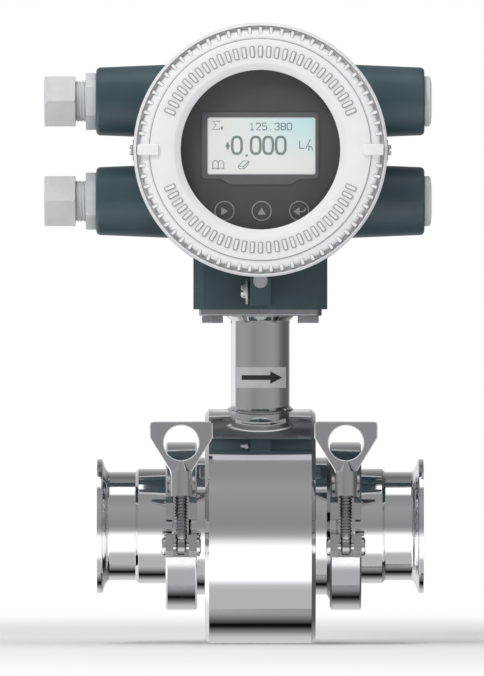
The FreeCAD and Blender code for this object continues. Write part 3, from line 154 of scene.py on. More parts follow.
def makePaintedHighlightEdge():
    # the wing nuts' edge bevels, near white and less metallic: painted highlight along the edges
    return grained("paintedHighlightEdge", "#f4f4f6", {"Metallic": 0.35}, size=0.5, roughness=(0.3, 0.42),
                   relief=0.002)


def makeSatinSteel():
    # cold-formed or milled stainless, bead blasted: grey sheen
    return grained("satinStainless", "#a9aaae", metal, size=0.8, roughness=(0.26, 0.36), relief=0.006,
                   cloud=12.0, colours=("#a1a2a6", "#b1b2b6"))


def makeThreadSteel():
    # rolled stainless thread, slightly oily
    return grained("rolledThreadStainless", "#b4b4b8", metal, size=0.7, roughness=(0.16, 0.3), relief=0.003)


def makeSlatePaint():
    # polyester powder coat on die-cast aluminium: fine orange peel, satin
    return grained("slatePowderCoat", "#3a5056", coating, size=1.1, roughness=(0.36, 0.46), relief=0.018,
                   cloud=16.0, colours=("#364a50", "#3e555c"))


def makeCoverPaint():
    # pale silver paint on a cast cover: fine texture, semi-gloss
    return grained("silverWhitePaint", "#ededee", coating, size=0.9, roughness=(0.3, 0.42), relief=0.014,
                   cloud=9.0, colours=("#ecedee", "#f0f0f2"))


def makeShadedPaint(name, colours):
    # the same paint, darker and rougher, for corners, grooves and the rim: painted shade where the relief is
    # shaded
    return grained(name, colours[0], coating, size=0.9, roughness=(0.5, 0.62), relief=0.02, cloud=6.0,
                   colours=colours)


def makeZincPlate():
    # bright zinc plating on small screws: dull white sheen
    return grained("brightZincPlate", "#d9dadc", {"Metallic": 0.55}, size=0.8, roughness=(0.34, 0.46),
                   relief=0.005, cloud=5.0, colours=("#d2d3d5", "#e0e1e3"))


def makeSealingCap():
    # grey lacquered cap over the sealed screw
    return grained("greyLacqueredCap", "#b2b2b6", coating, size=0.7, roughness=(0.38, 0.48), relief=0.006,
                   cloud=5.0, colours=("#adadb1", "#b7b7bb"))


def makeWindowGlass():
    # toughened glass, nearly clear from the front
    glass = newMaterial("toughenedGlass", "#101112", {"IOR": 1.52, "Alpha": 0.06, "Roughness": 0.03})
    glass.surface_render_method = "BLENDED"
    tree = glass.node_tree
    coords = addNode(tree, "TexCoord")
    noise = addNode(tree, "TexNoise", [("Vector", coords.outputs["Object"]), ("Scale", 60.0)])
    spread = addNode(tree, "MapRange", [(0, noise.outputs[0]), (3, 0.02), (4, 0.05)])
    tree.links.new(spread.outputs[0], tree.nodes["Principled BSDF"].inputs["Roughness"])
    return glass


def makeFaceFilm():
    # printed polycarbonate overlay, matt
    return grained("darkOverlayFilm", "#575859", {"IOR": 1.58}, size=0.5, roughness=(0.42, 0.52),
                   relief=0.004, cloud=10.0, colours=("#555657", "#595a5b"))


def makeBezelPlastic():
    # moulded ABS bezel, lightly textured
    return grained("greyBezelAbs", "#6f7073", moulding, size=0.5, roughness=(0.4, 0.5), relief=0.005,
                   cloud=8.0, colours=("#6c6d70", "#727376"))


def makeDisplayGlass():
    # backlit graphic display: warm white that turns pale cyan towards its upper right corner
    ground, corner = "#ebecea", "#c5eaeb"
    panel = newMaterial("displayGround", ground, {"IOR": 1.5, "Roughness": 0.35, "Emission Strength": 0.27})
    tree = panel.node_tree
    shader = tree.nodes["Principled BSDF"]
    coords = addNode(tree, "TexCoord")
    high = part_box("display_panel")[1]
    across, down = 44 * mm, 25 * mm
    mapping = addNode(tree, "Mapping", [("Vector", coords.outputs["Object"]),
                                        ("Location", (-high.x / across, 0, -high.z / down)),
                                        ("Scale", (1 / across, 0, 1 / down))])
    glow = addNode(tree, "TexGradient", [("Vector", mapping.outputs[0])], gradient_type="SPHERICAL")
    ramp = addNode(tree, "ValToRGB", [(0, glow.outputs[0])])
    for element, place, code in zip(ramp.color_ramp.elements, (0.05, 0.95), (ground, corner)):
        element.position = place
        element.color = linearColour(code)
    tree.links.new(ramp.outputs[0], shader.inputs["Base Color"])
    tree.links.new(ramp.outputs[0], shader.inputs["Emission Color"])
    return panel


def makePrint(name, colour):
    # screen-printed ink: even, matt, with a trace of pinholes
    return grained(name, colour, {"IOR": 1.45}, size=0.3, roughness=(0.5, 0.65))


def makePolyamide():
    # light grey moulded polyamide 6: fine texture, soft gloss
    return grained("lightPolyamide", "#cfd0d2", moulding, size=0.7, roughness=(0.38, 0.5), relief=0.012,
                   cloud=6.0, colours=("#cbccce", "#d4d5d7"))


def makeTerminalPlastic():
    # green moulded terminal strip
    return grained("greenTerminalPolyamide", "#3f7f5d", moulding, size=0.6, roughness=(0.4, 0.5),
                   relief=0.008, cloud=8.0, colours=("#3b7958", "#458664"))


def makeRubber(name, colours):
    # moulded elastomer: matt, faint mould bloom
    return grained(name, colours[0], {"IOR": 1.52}, size=0.8, roughness=(0.55, 0.7), relief=0.01,
                   cloud=7.0, colours=colours)


def makeLinerPlastic():
    # moulded PTFE: waxy white
    waxy = {"IOR": 1.35, "Subsurface Weight": 0.1, "Subsurface Scale": 1 * mm}
    return grained("whitePtfe", "#ecebe6", waxy, size=1.2, roughness=(0.35, 0.45), relief=0.01,
                   cloud=15.0, colours=("#e8e7e1", "#f0efeb"))


def makeWinding():
    # enamelled copper wire, wound in layers; each turn drawn 1 mm wide so that it shows
    copper = newMaterial("enamelledCopper", "#b4643a", {"Metallic": 0.9})
    tree = copper.node_tree
    shader = tree.nodes["Principled BSDF"]
    coords = addNode(tree, "TexCoord")
    turns = addNode(tree, "TexWave", [("Vector", coords.outputs["Object"]), ("Scale", 1000 / 3.14),
                                      ("Distortion", 0.4)], bands_direction="Z")
    bump = addNode(tree, "Bump", [("Height", turns.outputs[1]), ("Distance", 0.2 * mm)])
    spread = addNode(tree, "MapRange", [(0, turns.outputs[1]), (3, 0.5), (4, 0.25)])
    tree.links.new(bump.outputs[0], shader.inputs["Normal"])
    tree.links.new(spread.outputs[0], shader.inputs["Roughness"])
    return copper


def makeIron():
    # annealed low-carbon iron with a thin oxide
    return grained("annealedIron", "#5c5a58", metal, size=2.0, roughness=(0.4, 0.6), relief=0.01,
                   cloud=9.0, colours=("#53514f", "#686563"))


def makeCircuitBoard():
    # glass-epoxy laminate under green solder mask, with copper runs showing through
    board = newMaterial("greenSolderMask", "#1f6b45", {"IOR": 1.5, "Roughness": 0.35})
    tree = board.node_tree
    shader = tree.nodes["Principled BSDF"]
    coords = addNode(tree, "TexCoord")
    upright = addNode(tree, "Mapping", [("Vector", coords.outputs["Object"]),
                                        ("Rotation", (math.pi / 2, 0, 0))])
    runs = addNode(tree, "TexBrick", [("Vector", upright.outputs[0]), ("Scale", 1000 / 4.0),
                                      ("Color1", linearColour("#1c633f")),
                                      ("Color2", linearColour("#206e47")),
                                      ("Mortar", linearColour("#2f8a5b")), ("Mortar Size", 0.06)])
    bump = addNode(tree, "Bump", [("Height", runs.outputs[1]), ("Distance", 0.05 * mm)])
    tree.links.new(runs.outputs[0], shader.inputs["Base Color"])
    tree.links.new(bump.outputs[0], shader.inputs["Normal"])
    return board


def makeLabelFilm():
    # silver-grey polyester label, matt
    return grained("silverLabelFilm", "#c6c6c9", coating, size=0.6, roughness=(0.4, 0.55), relief=0.004,
                   cloud=4.0, colours=("#c1c1c4", "#cbcbce"))


finishes = {
    "polished_steel": makeMirrorSteel("mirrorStainlessAlongX", (1, 30, 30)),
    "satin_steel": makeSatinSteel(),
    "slate_paint": makeSlatePaint(),
    "cover_silver": makeCoverPaint(),
    "clear_glass": makeWindowGlass(),
    "dark_face": makeFaceFilm(),
    "grey_frame": makeBezelPlastic(),
    "display": makeDisplayGlass(),
    "circuit_board": makeCircuitBoard(),
    "terminal_plastic": makeTerminalPlastic(),
    "gland_plastic": makePolyamide(),
    "seal_rubber": makeRubber("blackNitrile", ("#1b1b1c", "#262627")),
    "gasket_rubber": makeRubber("blackEpdm", ("#1d1d1d", "#292929")),
    "liner_plastic": makeLinerPlastic(),
    "copper_winding": makeWinding(),
    "iron": makeIron(),
    "label_film": makeLabelFilm(),
    "cable_sheath": makeRubber("greyPvcSheath", ("#4b4d50", "#57595c")),
}
neckSteel = makeMirrorSteel("mirrorStainlessAlongZ", (30, 30, 1))
castSteel = makeCastSteel()
threadSteel = makeThreadSteel()
paintedHighlightEdge = makePaintedHighlightEdge()
# darker copies of the cover paint: painted shade in the grooves, on the rim and in the corners
grooveShadePaint = makeShadedPaint("silverPaintShadedInGrooves", ("#dadadd", "#e4e4e6"))
cornerShadePaint = makeShadedPaint("silverPaintShadedInCorners", ("#98989c", "#a6a6aa"))
zincPlate = makeZincPlate()
sealingCap = makeSealingCap()
displayInk = makePrint("displaySegments", "#7d9099")
displayInkDark = makePrint("displaySegmentsDark", "#98a79f")
displayLight = makePrint("displayLitEdge", "#f6f8f7")
keyInk = makePrint("greyKeyPrint", "#b4b4b8")
arrowInk = makePrint("blackArrowPrint", "#2b2b2b")
print("materials made")


# Small helpers for pieces

def addPiece(name, mesh, material, nodes=(), body=None):
    # the piece rides where the nodes that it replaces ride
    piece = bpy.data.objects.new(name, mesh)
    bpy.context.scene.collection.objects.link(piece)
    mesh.materials.clear()
    mesh.materials.append(material)
    if nodes:
        body = body_of(cadNodes[nodes[0]])[0]
        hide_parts(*nodes)
    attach(piece, body)
    return piece


def meshFrom(bm, name):
    mesh = bpy.data.meshes.new(name)
    bm.to_mesh(mesh)
    bm.free()
    return mesh


def bevelEdges(bm, edges, width, steps, clamp=True):
    bmesh.ops.bevel(bm, geom=edges, offset=width * mm, offset_type="OFFSET", segments=steps, profile=0.5,
                    affect="EDGES", material=-1, clamp_overlap=clamp)


def closeMesh(bm, name, edge=0.0, sharp=28):
    # joins doubles, turns the faces outwards and bevels the sharp edges by the given millimetres
    bmesh.ops.remove_doubles(bm, verts=bm.verts, dist=0.001 * mm)
    bmesh.ops.recalc_face_normals(bm, faces=bm.faces)
    limit = math.radians(sharp)
    if edge:
        corners = [e for e in bm.edges if len(e.link_faces) == 2 and e.calc_face_angle(0) > limit]
        bevelEdges(bm, corners, edge, 2)
    mesh = meshFrom(bm, name)
    mesh.shade_smooth()
    mesh.set_sharp_from_angle(angle=limit)
    return mesh


def axisPoint(axis, centre, along, radius):
    # a point of a turned section, in mm from the centre, on the plane through the axis
    if axis == "X":
        return Vector(centre) + Vector((along, 0, radius)) * mm
    if axis == "Y":
        return Vector(centre) + Vector((0, along, radius)) * mm
    return Vector(centre) + Vector((radius, 0, along)) * mm


def turn(bm, axis, centre, section, steps):
    # a closed section of (along, radius) points, spun all the way round its axis
    verts = [bm.verts.new(axisPoint(axis, centre, along, radius)) for along, radius in section]
    edges = [bm.edges.new((verts[i], verts[i - 1])) for i in range(len(verts))]
    bmesh.ops.spin(bm, geom=verts + edges, cent=centre, axis=axisPoint(axis, (0, 0, 0), 1000, 0),
                   angle=2 * math.pi, steps=steps, use_merge=True)


def turned(name, axis, centre, section, edge, steps):
    bm = bmesh.new()
    turn(bm, axis, centre, section, steps)
    return closeMesh(bm, name, edge)


def thread(bm, axis, centre, start, stop, root, crest, pitch, steps):
    # a ridge of one pitch, spun along its axis into a screw thread
    turns = int((stop - start) / pitch)
    section = [(start, root), (start + pitch * 0.38, crest), (start + pitch * 0.62, crest),
               (start + pitch, root)]
    verts = [bm.verts.new(axisPoint(axis, centre, along, radius)) for along, radius in section]
    edges = [bm.edges.new((verts[i], verts[i + 1])) for i in range(len(verts) - 1)]
    direction = axisPoint(axis, (0, 0, 0), 1, 0)
    bmesh.ops.spin(bm, geom=verts + edges, cent=centre, axis=direction.normalized(),
                   dvec=direction * (pitch / steps), angle=2 * math.pi * turns, steps=steps * turns,
                   use_merge=False)


def softCopy(name, node, edge, material=None, steps=2, angle=30):
    # a copy of a CAD node whose sharp edges are broken, so that they catch the light
    bm = bmesh.new()
    bm.from_mesh(cadNodes[node].data)
    bmesh.ops.remove_doubles(bm, verts=bm.verts, dist=0.001 * mm)
    bmesh.ops.dissolve_limit(bm, angle_limit=math.radians(0.4), verts=bm.verts, edges=bm.edges)
    mesh = meshFrom(bm, name)
    mesh.shade_smooth()
    breakEdges(addPiece(name, mesh, material or finishes[slotOf[node]], (node,)), edge, steps, angle)


def carve(mesh, cutter):
    # takes the cutter's shape out of the mesh
    base = bpy.data.objects.new("carveBase", mesh)
    tool = bpy.data.objects.new("carveTool", cutter)
    for thing in (base, tool):
        bpy.context.scene.collection.objects.link(thing)
    away = base.modifiers.new("away", "BOOLEAN")
    away.operation = "DIFFERENCE"
    away.object = tool
    bpy.context.view_layer.update()
    carved = bpy.data.meshes.new_from_object(base.evaluated_get(bpy.context.evaluated_depsgraph_get()))
    bpy.data.objects.remove(base)
    bpy.data.objects.remove(tool)
    return carved


def plate(name, outline, low, high):
    # a flat outline of (x, z) points in mm, drawn out along Y from low to high
    bm = bmesh.new()
    face = bm.faces.new([bm.verts.new(Vector((x, low, z)) * mm) for x, z in outline])
    drawOut(bm, [face], high - low)
    return closeMesh(bm, name)


def drawOut(bm, faces, depth):
    grown = bmesh.ops.extrude_face_region(bm, geom=faces, use_keep_orig=True)["geom"]
    bmesh.ops.translate(bm, verts=[v for v in grown if isinstance(v, bmesh.types.BMVert)],
                        vec=(0, depth * mm, 0))


def frontwards(bm, name):
    # a mesh of one flat or gently curved shape, whose faces look to the front
    bmesh.ops.recalc_face_normals(bm, faces=bm.faces)
    bm.faces.ensure_lookup_table()
    if bm.faces[0].normal.y > 0:
        bmesh.ops.reverse_faces(bm, faces=bm.faces)
    return meshFrom(bm, name)


def breakEdges(piece, edge, steps=2, angle=30):
    bevel = piece.modifiers.new("brokenEdges", "BEVEL")
    bevel.width = edge * mm
    bevel.segments = steps
    bevel.limit_method = "ANGLE"
    bevel.angle_limit = math.radians(angle)
    flattenFaces(piece, False)


def flattenFaces(piece, keepSharp=True):
    # long faces keep their own direction beside small bevels
    smooth = piece.modifiers.new("flatFacesFirst", "WEIGHTED_NORMAL")
    smooth.keep_sharp = keepSharp
    smooth.weight = 50


# Camera and studio

photoView = {
    "azimuth": 0.0,
    "lens": 1100.0,
    "sensorWidth": 36.0,
    "distance": 9936 * mm,
    "across": -8.8 * mm,
    "height": 90.4 * mm,
    "farthest": 50.0,
}
studio = {
    "floorLevel": -56.6 * mm,
    "floorRadius": 12.0,
    "floorColour": "#f7f8f8",
    "floorFade": 0.9,  # for each metre, so the floor is all white about 1.1 m from the meter
    "ambient": 0.44,
    "roomPeak": 1.3,
    "shadePeak": 1.2,
}
softboxes = {
    "overheadSoftbox": {"power": 7.6, "size": (1.5, 0.9), "place": (0, -0.1, 1.4), "aim": (0, 0, 0.1)},
    "keySoftbox": {"power": 13.4, "size": (0.55, 0.55), "place": (-0.75, -1.5, 1.25), "aim": (0, 0, 0.12)},
    "fillSoftbox": {"power": 0.6, "size": (1.2, 1.2), "place": (1.4, -1.6, 0.4), "aim": (0, 0, 0.1)},
}
# what polished metal sees of the studio: (degrees up from the horizon, brightness), in front and behind
frontRoom = [(-90, 0.54), (-66, 0.54), (-61, 0.62), (-58, 0.85), (-54, 1.3), (-20, 1.3), (-15.3, 0.95),
             (-9.4, 0.47), (-3.5, 0.34), (2, 0.3), (20, 0.335), (38, 0.37), (58, 0.31), (68, 0.32), (74, 1.3),
             (90, 1.3)]
backRoom = [(-90, 0.54), (-83, 0.45), (-75, 0.2), (-66, 0.0), (-61, 0.02), (-51, 0.3), (-38, 0.75),
            (-20, 0.78), (8, 0.85), (28, 0.5), (39, 0.34), (54, 0.2), (66, 0.3), (72, 0.3), (79, 1.3),
            (90, 1.3)]
# round the horizon, in degrees to the right of the camera: the share of that brightness,
# and where the back takes over
sideShade = [(-180, 0.85), (-160, 1.0), (-128, 1.2), (-112, 1.2), (-104, 1.07), (-77, 1.18), (-59, 1.13),
             (-41, 1.03), (-25, 0.9), (-9, 0.98), (6, 1.02), (38, 1.09), (55, 1.07), (74, 0.9), (84, 0.24),
             (105, 0.14), (140, 0.16), (165, 0.5), (180, 0.85)]
backShare = [(-180, 1), (-122, 1), (-110, 0), (76, 0), (88, 1), (180, 1)]


def makeCamera():
    bpy.context.scene.view_settings.view_transform = "Standard"
    data = bpy.data.cameras.new("photoCamera")
    data.lens = photoView["lens"]
    data.sensor_width = photoView["sensorWidth"]
    data.clip_end = photoView["farthest"]
    camera = bpy.data.objects.new("photoCamera", data)
    camera.location = (photoView["across"], -photoView["distance"], photoView["height"])
    camera.rotation_euler = (math.pi / 2, 0, photoView["azimuth"])
    bpy.context.scene.collection.objects.link(camera)
    bpy.context.scene.camera = camera


def addSoftbox(name, power, size, place, aim):
    data = bpy.data.lights.new(name, "AREA")
    data.shape = "RECTANGLE"
    data.size, data.size_y = size
    data.energy = power
    lamp = bpy.data.objects.new(name, data)
    lamp.location = place
    lamp.rotation_euler = (Vector(aim) - Vector(place)).to_track_quat("-Z", "Y").to_euler()
    lamp.visible_glossy = False
    bpy.context.scene.collection.objects.link(lamp)


def roomRamp(tree, angle, low, high, stops, full):
    # a value by angle in degrees, as a share of the full value
    place = addNode(tree, "MapRange", [(0, angle), (1, math.radians(low)), (2, math.radians(high))])
    ramp = addNode(tree, "ValToRGB", [(0, place.outputs[0])])
    elements = ramp.color_ramp.elements
    while len(elements) < len(stops):
        elements.new(0.5)
    for element, (degrees, bright) in zip(elements, stops):
        element.position = (degrees - low) / (high - low)
        element.color = (bright / full, bright / full, bright / full, 1.0)
    return ramp.outputs[0]


def makeWorld():
    # white where the camera looks, plain grey light on the object, and a studio for polished metal to reflect
    world = bpy.data.worlds.new("studioWorld")
    bpy.context.scene.world = world
    world.use_nodes = True
    tree = world.node_tree
    tree.nodes.clear()
    direction = addNode(tree, "TexCoord").outputs["Generated"]
    parts = addNode(tree, "SeparateXYZ", [(0, direction)])
    forward = addNode(tree, "Math", [(0, parts.outputs[1]), (1, -1.0)], operation="MULTIPLY")
    rise = addNode(tree, "Math", [(0, parts.outputs[2])], operation="ARCSINE").outputs[0]
    aside = addNode(tree, "Math", [(0, parts.outputs[0]), (1, forward.outputs[0])],
                    operation="ARCTAN2").outputs[0]
    peak, shadePeak = studio["roomPeak"], studio["shadePeak"]
    front = roomRamp(tree, rise, -90, 90, frontRoom, peak)
    back = roomRamp(tree, rise, -90, 90, backRoom, peak)
    shade = roomRamp(tree, aside, -180, 180, sideShade, shadePeak)
    share = roomRamp(tree, aside, -180, 180, backShare, 1.0)
    room = addNode(tree, "MixRGB", [(0, share), (1, front), (2, back)])
    shaded = addNode(tree, "MixRGB", [(0, 1.0), (1, room.outputs[0]), (2, shade)], blend_type="MULTIPLY")
    path = addNode(tree, "LightPath").outputs
    mirrored = addNode(tree, "Math", [(0, path["Is Glossy Ray"]), (1, path["Is Transmission Ray"])],
                       operation="MAXIMUM")
    light = addNode(tree, "Background", [("Color", (1, 1, 1, 1)), ("Strength", studio["ambient"])])
    reflected = addNode(tree, "Background", [("Color", shaded.outputs[0]), ("Strength", peak * shadePeak)])
    white = addNode(tree, "Background", [("Color", (1, 1, 1, 1)), ("Strength", 1.0)])
    inside = addNode(tree, "MixShader", [(0, mirrored.outputs[0]), (1, light.outputs[0]),
                                         (2, reflected.outputs[0])])
    seen = addNode(tree, "MixShader", [(0, path["Is Camera Ray"]), (1, inside.outputs[0]),
                                       (2, white.outputs[0])])
    addNode(tree, "OutputWorld", [("Surface", seen.outputs[0])])


def makeFloor():
    # a pale floor that takes the shadow near the object and turns plain white further out
    bm = bmesh.new()
    bmesh.ops.create_circle(bm, cap_ends=True, segments=96, radius=studio["floorRadius"],
                            matrix=Matrix.Translation((0, 0, studio["floorLevel"])))
    mesh = meshFrom(bm, "studioFloor")
    floor = bpy.data.objects.new("studioFloor", mesh)
    bpy.context.scene.collection.objects.link(floor)
    floor.visible_glossy = False
    material = newMaterial("paleFloor", studio["floorColour"], {"Roughness": 0.8})
    tree = material.node_tree
    shader = tree.nodes["Principled BSDF"]
    coords = addNode(tree, "TexCoord")
    nearness = studio["floorFade"]
    scale = addNode(tree, "Mapping", [("Vector", coords.outputs["Object"]),
                                      ("Scale", (nearness, nearness, 0))])
    fade = addNode(tree, "TexGradient", [("Vector", scale.outputs[0])], gradient_type="SPHERICAL")
    ramp = addNode(tree, "MapRange", [(0, fade.outputs[0]), (1, 0.0), (2, 0.75), (3, 1.0), (4, 0.0)],
                   interpolation_type="SMOOTHSTEP")
    glow = addNode(tree, "Emission", [("Color", (1, 1, 1, 1)), ("Strength", 1.0)])
    mix = addNode(tree, "MixShader", [(0, ramp.outputs[0]), (1, shader.outputs[0]), (2, glow.outputs[0])])
    tree.links.new(mix.outputs[0], tree.nodes["Material Output"].inputs["Surface"])
    mesh.materials.append(material)


makeCamera()
makeWorld()
makeFloor()
for softboxName, softbox in softboxes.items():
    addSoftbox(softboxName, **softbox)
print("camera and studio made")


# Sensor: barrel, end plates and process ends, turned and mirror polished

sensorShape = {
    "barrelRadius": 56.2,
    "shellHalf": 24.55,
    "shellWall": 2.0,
    "barrelHalf": 26.55,
    "plateChamfer": 2.0,
    "plateBore": 33.05,
    "plateSpigot": 3.0,
    "spigotFit": 0.05,
    "plateEdge": 0.12,
    "neckHole": 12.1,
    "steps": 256,
}


def makeBarrel():
    s = sensorShape
    radius, half, bore = s["barrelRadius"], s["shellHalf"], s["plateBore"]
    inner = radius - s["shellWall"]
    shell = turned("barrelShell", "X", (0, 0, 0),
                   [(-half, inner), (-half, radius), (half, radius), (half, inner)], 0.0, s["steps"])
    hole, reach = s["neckHole"], 10
    cutter = bmesh.new()
    turn(cutter, "Z", Vector((0, 0, radius)) * mm,
         [(-reach, 0), (-reach, hole), (reach, hole), (reach, 0)], 64)
    addPiece("barrelShell", carve(shell, closeMesh(cutter, "holeTool")), finishes["polished_steel"],
             ("barrel_shell",))
    spigot = inner - s["spigotFit"]
    section = [(half - s["plateSpigot"], bore), (half - s["plateSpigot"], spigot), (half, spigot),
               (half, radius), (s["barrelHalf"], radius - s["plateChamfer"]), (s["barrelHalf"], bore)]
    for side, sign in (("Left", -1), ("Right", 1)):
        disc = turned("endPlate" + side, "X", (0, 0, 0), [(sign * x, r) for x, r in section], s["plateEdge"],
                      s["steps"])
        flattenFaces(addPiece("endPlate" + side, disc, finishes["polished_steel"],
                              ("end_plate_" + side.lower(),)))


adapterShape = {
    "faces": {"Left": 38.9, "Right": 41.95},
    "endFace": 78.45,
    "bore": 24.5,
    "flangeRadius": 36.4,
    "flangeRim": 2.5,
    "flangeSide": 0.864,
    "flangeDrop": 2.4,
    "stepRadius": 27.5,
    "stepStart": 58.5,
    "pipeRadius": 26.0,
    "ferruleRadius": 32.2,
    "ferruleRim": 2.7,
    "ferruleNeck": 3.4,
    "ferruleSlope": 0.6,
    "grooveRadius": 28.2,
    "grooveSize": 1.5,
    "edge": 0.15,
    "steps": 224,
}


def makeAdapter(side, sign):
    a = adapterShape
    face = a["faces"][side]
    rim = a["endFace"] - a["ferruleRim"]
    neck = rim - a["ferruleNeck"]
    back = face + a["flangeRim"] + a["flangeSide"]
    rise = a["ferruleRadius"] - a["ferruleSlope"] - a["pipeRadius"]
    curve = [(neck + a["ferruleNeck"] * t / 10, a["pipeRadius"] + rise * (t / 10) ** 2.2) for t in range(11)]
    groove = [(a["endFace"] - a["grooveSize"] * math.sin(math.radians(t)),
               a["grooveRadius"] + a["grooveSize"] * math.cos(math.radians(t))) for t in range(0, 181, 30)]
    section = [(face, a["bore"]), (face, a["flangeRadius"]), (face + a["flangeRim"], a["flangeRadius"]),
               (back, a["flangeRadius"] - a["flangeDrop"]), (back, a["stepRadius"]),
               (a["stepStart"], a["stepRadius"]),
               (a["stepStart"] + a["stepRadius"] - a["pipeRadius"], a["pipeRadius"])]
    section += curve + [(rim + 0.5, a["ferruleRadius"]), (a["endFace"], a["ferruleRadius"])] + groove
    section += [(a["endFace"], a["bore"])]
    mesh = turned("adapter" + side, "X", (0, 0, 0), [(sign * x, r) for x, r in section], a["edge"],
                  a["steps"])
    flattenFaces(addPiece("adapter" + side, mesh, finishes["polished_steel"], ("adapter_" + side.lower(),)))


makeBarrel()
makeAdapter("Left", -1)
makeAdapter("Right", 1)
print("sensor turned")


# how far the sharp edges of the castings, screws and mouldings are broken, in mm
brokenEdges = {"clamp": 0.35, "flange": 0.3, "housing": 0.5, "fitting": 0.2, "rearCover": 0.3,
               "glandNut": 0.4, "plug": 0.3, "bezel": 0.12}


# Hinged clamps with their swivel bolts and wing nuts

clampShape = {
    "joint": {"left": -37.9, "right": 40.95},
    "boltDepth": -51.5,
    "hingeDepth": 45.6,
    "hingeHeight": 0.0,
    "pivot": -9.5,
    "eyeRadius": 4.4,
    "eyeHole": 2.05,
    "eyeHalf": 2.6,
    "shankFoot": 3.2,
    "shankFull": 4.2,
    "shankFootRadius": 2.4,
    "shankRadius": 2.7,
    "boltRadius": 3.0,
    "boltRoot": 2.35,
    "threadStart": -2.6,
    "boltTop": 25.6,
    "pitch": 1.5,
}
pinShape = {
    "endRadius": 3.4,
    "roundLength": 0.45,
    "roundRadius": 4.3,
    "headStart": 1.0,
    "headRadius": 4.6,
    "headLength": 1.9,
    "shaftRadius": 2.0,
}
nutShape = {
    "hubRadius": 5.4,
    "hubBottom": 14.9,
    "hubTop": 26.6,
    "coneTop": 31.8,
    "bore": 3.2,
    "mouth": 4.3,
    "wingHalf": 15.1,
    "wingShoulder": 42.6,
    "wingTop": 50.5,
    "wingThickness": 4.5,
    "wingCorner": 1.5,
    "wingCut": 0.3,
    "wingRoot": 2.0,
    "holeHeight": 40.2,
    "holeRadius": 8.35,
    "edge": 0.42,
}


def makeWingNut(side):
    n = nutShape
    depth = clampShape["boltDepth"]
    name = "wingNut" + side.title()
    wide, top, corner, cut = n["wingHalf"], n["wingTop"], n["wingCorner"], n["wingCorner"] * n["wingCut"]
    right = [(n["hubRadius"] - 0.3, n["hubTop"] - n["wingRoot"]), (n["hubRadius"], n["hubTop"] + 0.4),
             (wide, n["wingShoulder"]), (wide, top - corner), (wide - cut, top - cut), (wide - corner, top)]
    outline = right + [(-x, z) for x, z in reversed(right)]
    # the wing is a flat ring from its outline to its hole, drawn out, with a near-white paint on its edge
    # bevels as painted highlight
    bm = bmesh.new()
    half = n["wingThickness"] / 2
    rim = [bm.verts.new(Vector((x, -half, z)) * mm) for x, z in outline]
    hole = [bm.verts.new(Vector((n["holeRadius"] * math.cos(math.radians(t)), -half,
                                 n["holeHeight"] + n["holeRadius"] * math.sin(math.radians(t)))) * mm)
            for t in range(0, 360, 6)]
    loops = [bm.edges.new((loop[i], loop[i - 1])) for loop in (rim, hole) for i in range(len(loop))]
    bmesh.ops.bridge_loops(bm, edges=loops)
    drawOut(bm, bm.faces[:], n["wingThickness"])
    bmesh.ops.recalc_face_normals(bm, faces=bm.faces)
    bevelEdges(bm, [e for e in bm.edges if e.calc_face_angle(0) > math.radians(40)], n["edge"], 1, False)
    turn(bm, "Z", (0, 0, 0), [(n["hubBottom"] + 1.1, n["bore"]), (n["hubBottom"], n["mouth"]),
                              (n["hubBottom"], n["hubRadius"]), (n["hubTop"], n["hubRadius"]),
                              (n["coneTop"], half - 0.3), (n["coneTop"], n["bore"] - 1.5),
                              (n["hubTop"], n["bore"])], 64)
    bmesh.ops.translate(bm, verts=bm.verts, vec=Vector((clampShape["joint"][side], depth, 0)) * mm)
    mesh = closeMesh(bm, name, sharp=32)
    piece = addPiece(name, mesh, castSteel, ("wing_nut_" + side,))
    mesh.materials.append(paintedHighlightEdge)
    for face in mesh.polygons:
        # the bevels round the wing's two flat faces take the painted highlight
        away = abs(face.center.y / mm - depth) - half + n["edge"] / 2
        if face.center.z > n["hubTop"] * mm and abs(away) < 0.06 and 0.6 < abs(face.normal.y) < 0.8:
            face.material_index = 1
    flattenFaces(piece)


def makePin(kind, side, depth, height):
    p = pinShape
    node = kind + "_pin_" + side
    name = kind + "Pin" + side.title()
    low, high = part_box(node)
    centre = Vector(((low.x + high.x) / 2, depth * mm, height * mm))
    half = (high.x - low.x) / 2 / mm
    right = [(half - p["headLength"], p["shaftRadius"]), (half - p["headLength"], p["headRadius"]),
             (half - p["headStart"], p["headRadius"]), (half - p["roundLength"], p["roundRadius"]),
             (half, p["endRadius"]), (half, 0)]
    section = [(-x, radius) for x, radius in reversed(right)] + right
    addPiece(name, turned(name, "X", centre, section, 0.0, 40), castSteel, (node,))


def makeSwivelBolt(side):
    c = clampShape
    name = "swivelBolt" + side.title()
    centre = Vector((c["joint"][side], c["boltDepth"], 0)) * mm
    pivot = centre + Vector((0, 0, c["pivot"])) * mm
    bm = bmesh.new()
    half, eye, root = c["eyeHalf"], c["eyeRadius"], c["boltRoot"]
    turn(bm, "X", pivot, [(-half, c["eyeHole"]), (-half + 0.5, eye - 0.6), (-half + 1.0, eye),
                          (half - 1.0, eye), (half - 0.5, eye - 0.6), (half, c["eyeHole"])], 48)
    foot = c["pivot"] + c["shankFoot"]
    smoothEnd = c["threadStart"] + 0.3
    turn(bm, "Z", centre, [(foot, 0), (foot, c["shankFootRadius"]),
                           (c["pivot"] + c["shankFull"], c["shankRadius"]),
                           (smoothEnd - 0.4, c["shankRadius"]), (smoothEnd, root), (c["boltTop"] - 0.6, root),
                           (c["boltTop"], root - 0.6), (c["boltTop"], 0)], 40)
    thread(bm, "Z", centre, c["threadStart"], c["boltTop"] - 0.5, root - 0.02, c["boltRadius"] - 0.02,
           c["pitch"], 40)
    addPiece(name, closeMesh(bm, name, sharp=35), threadSteel, ("swivel_bolt_" + side,))


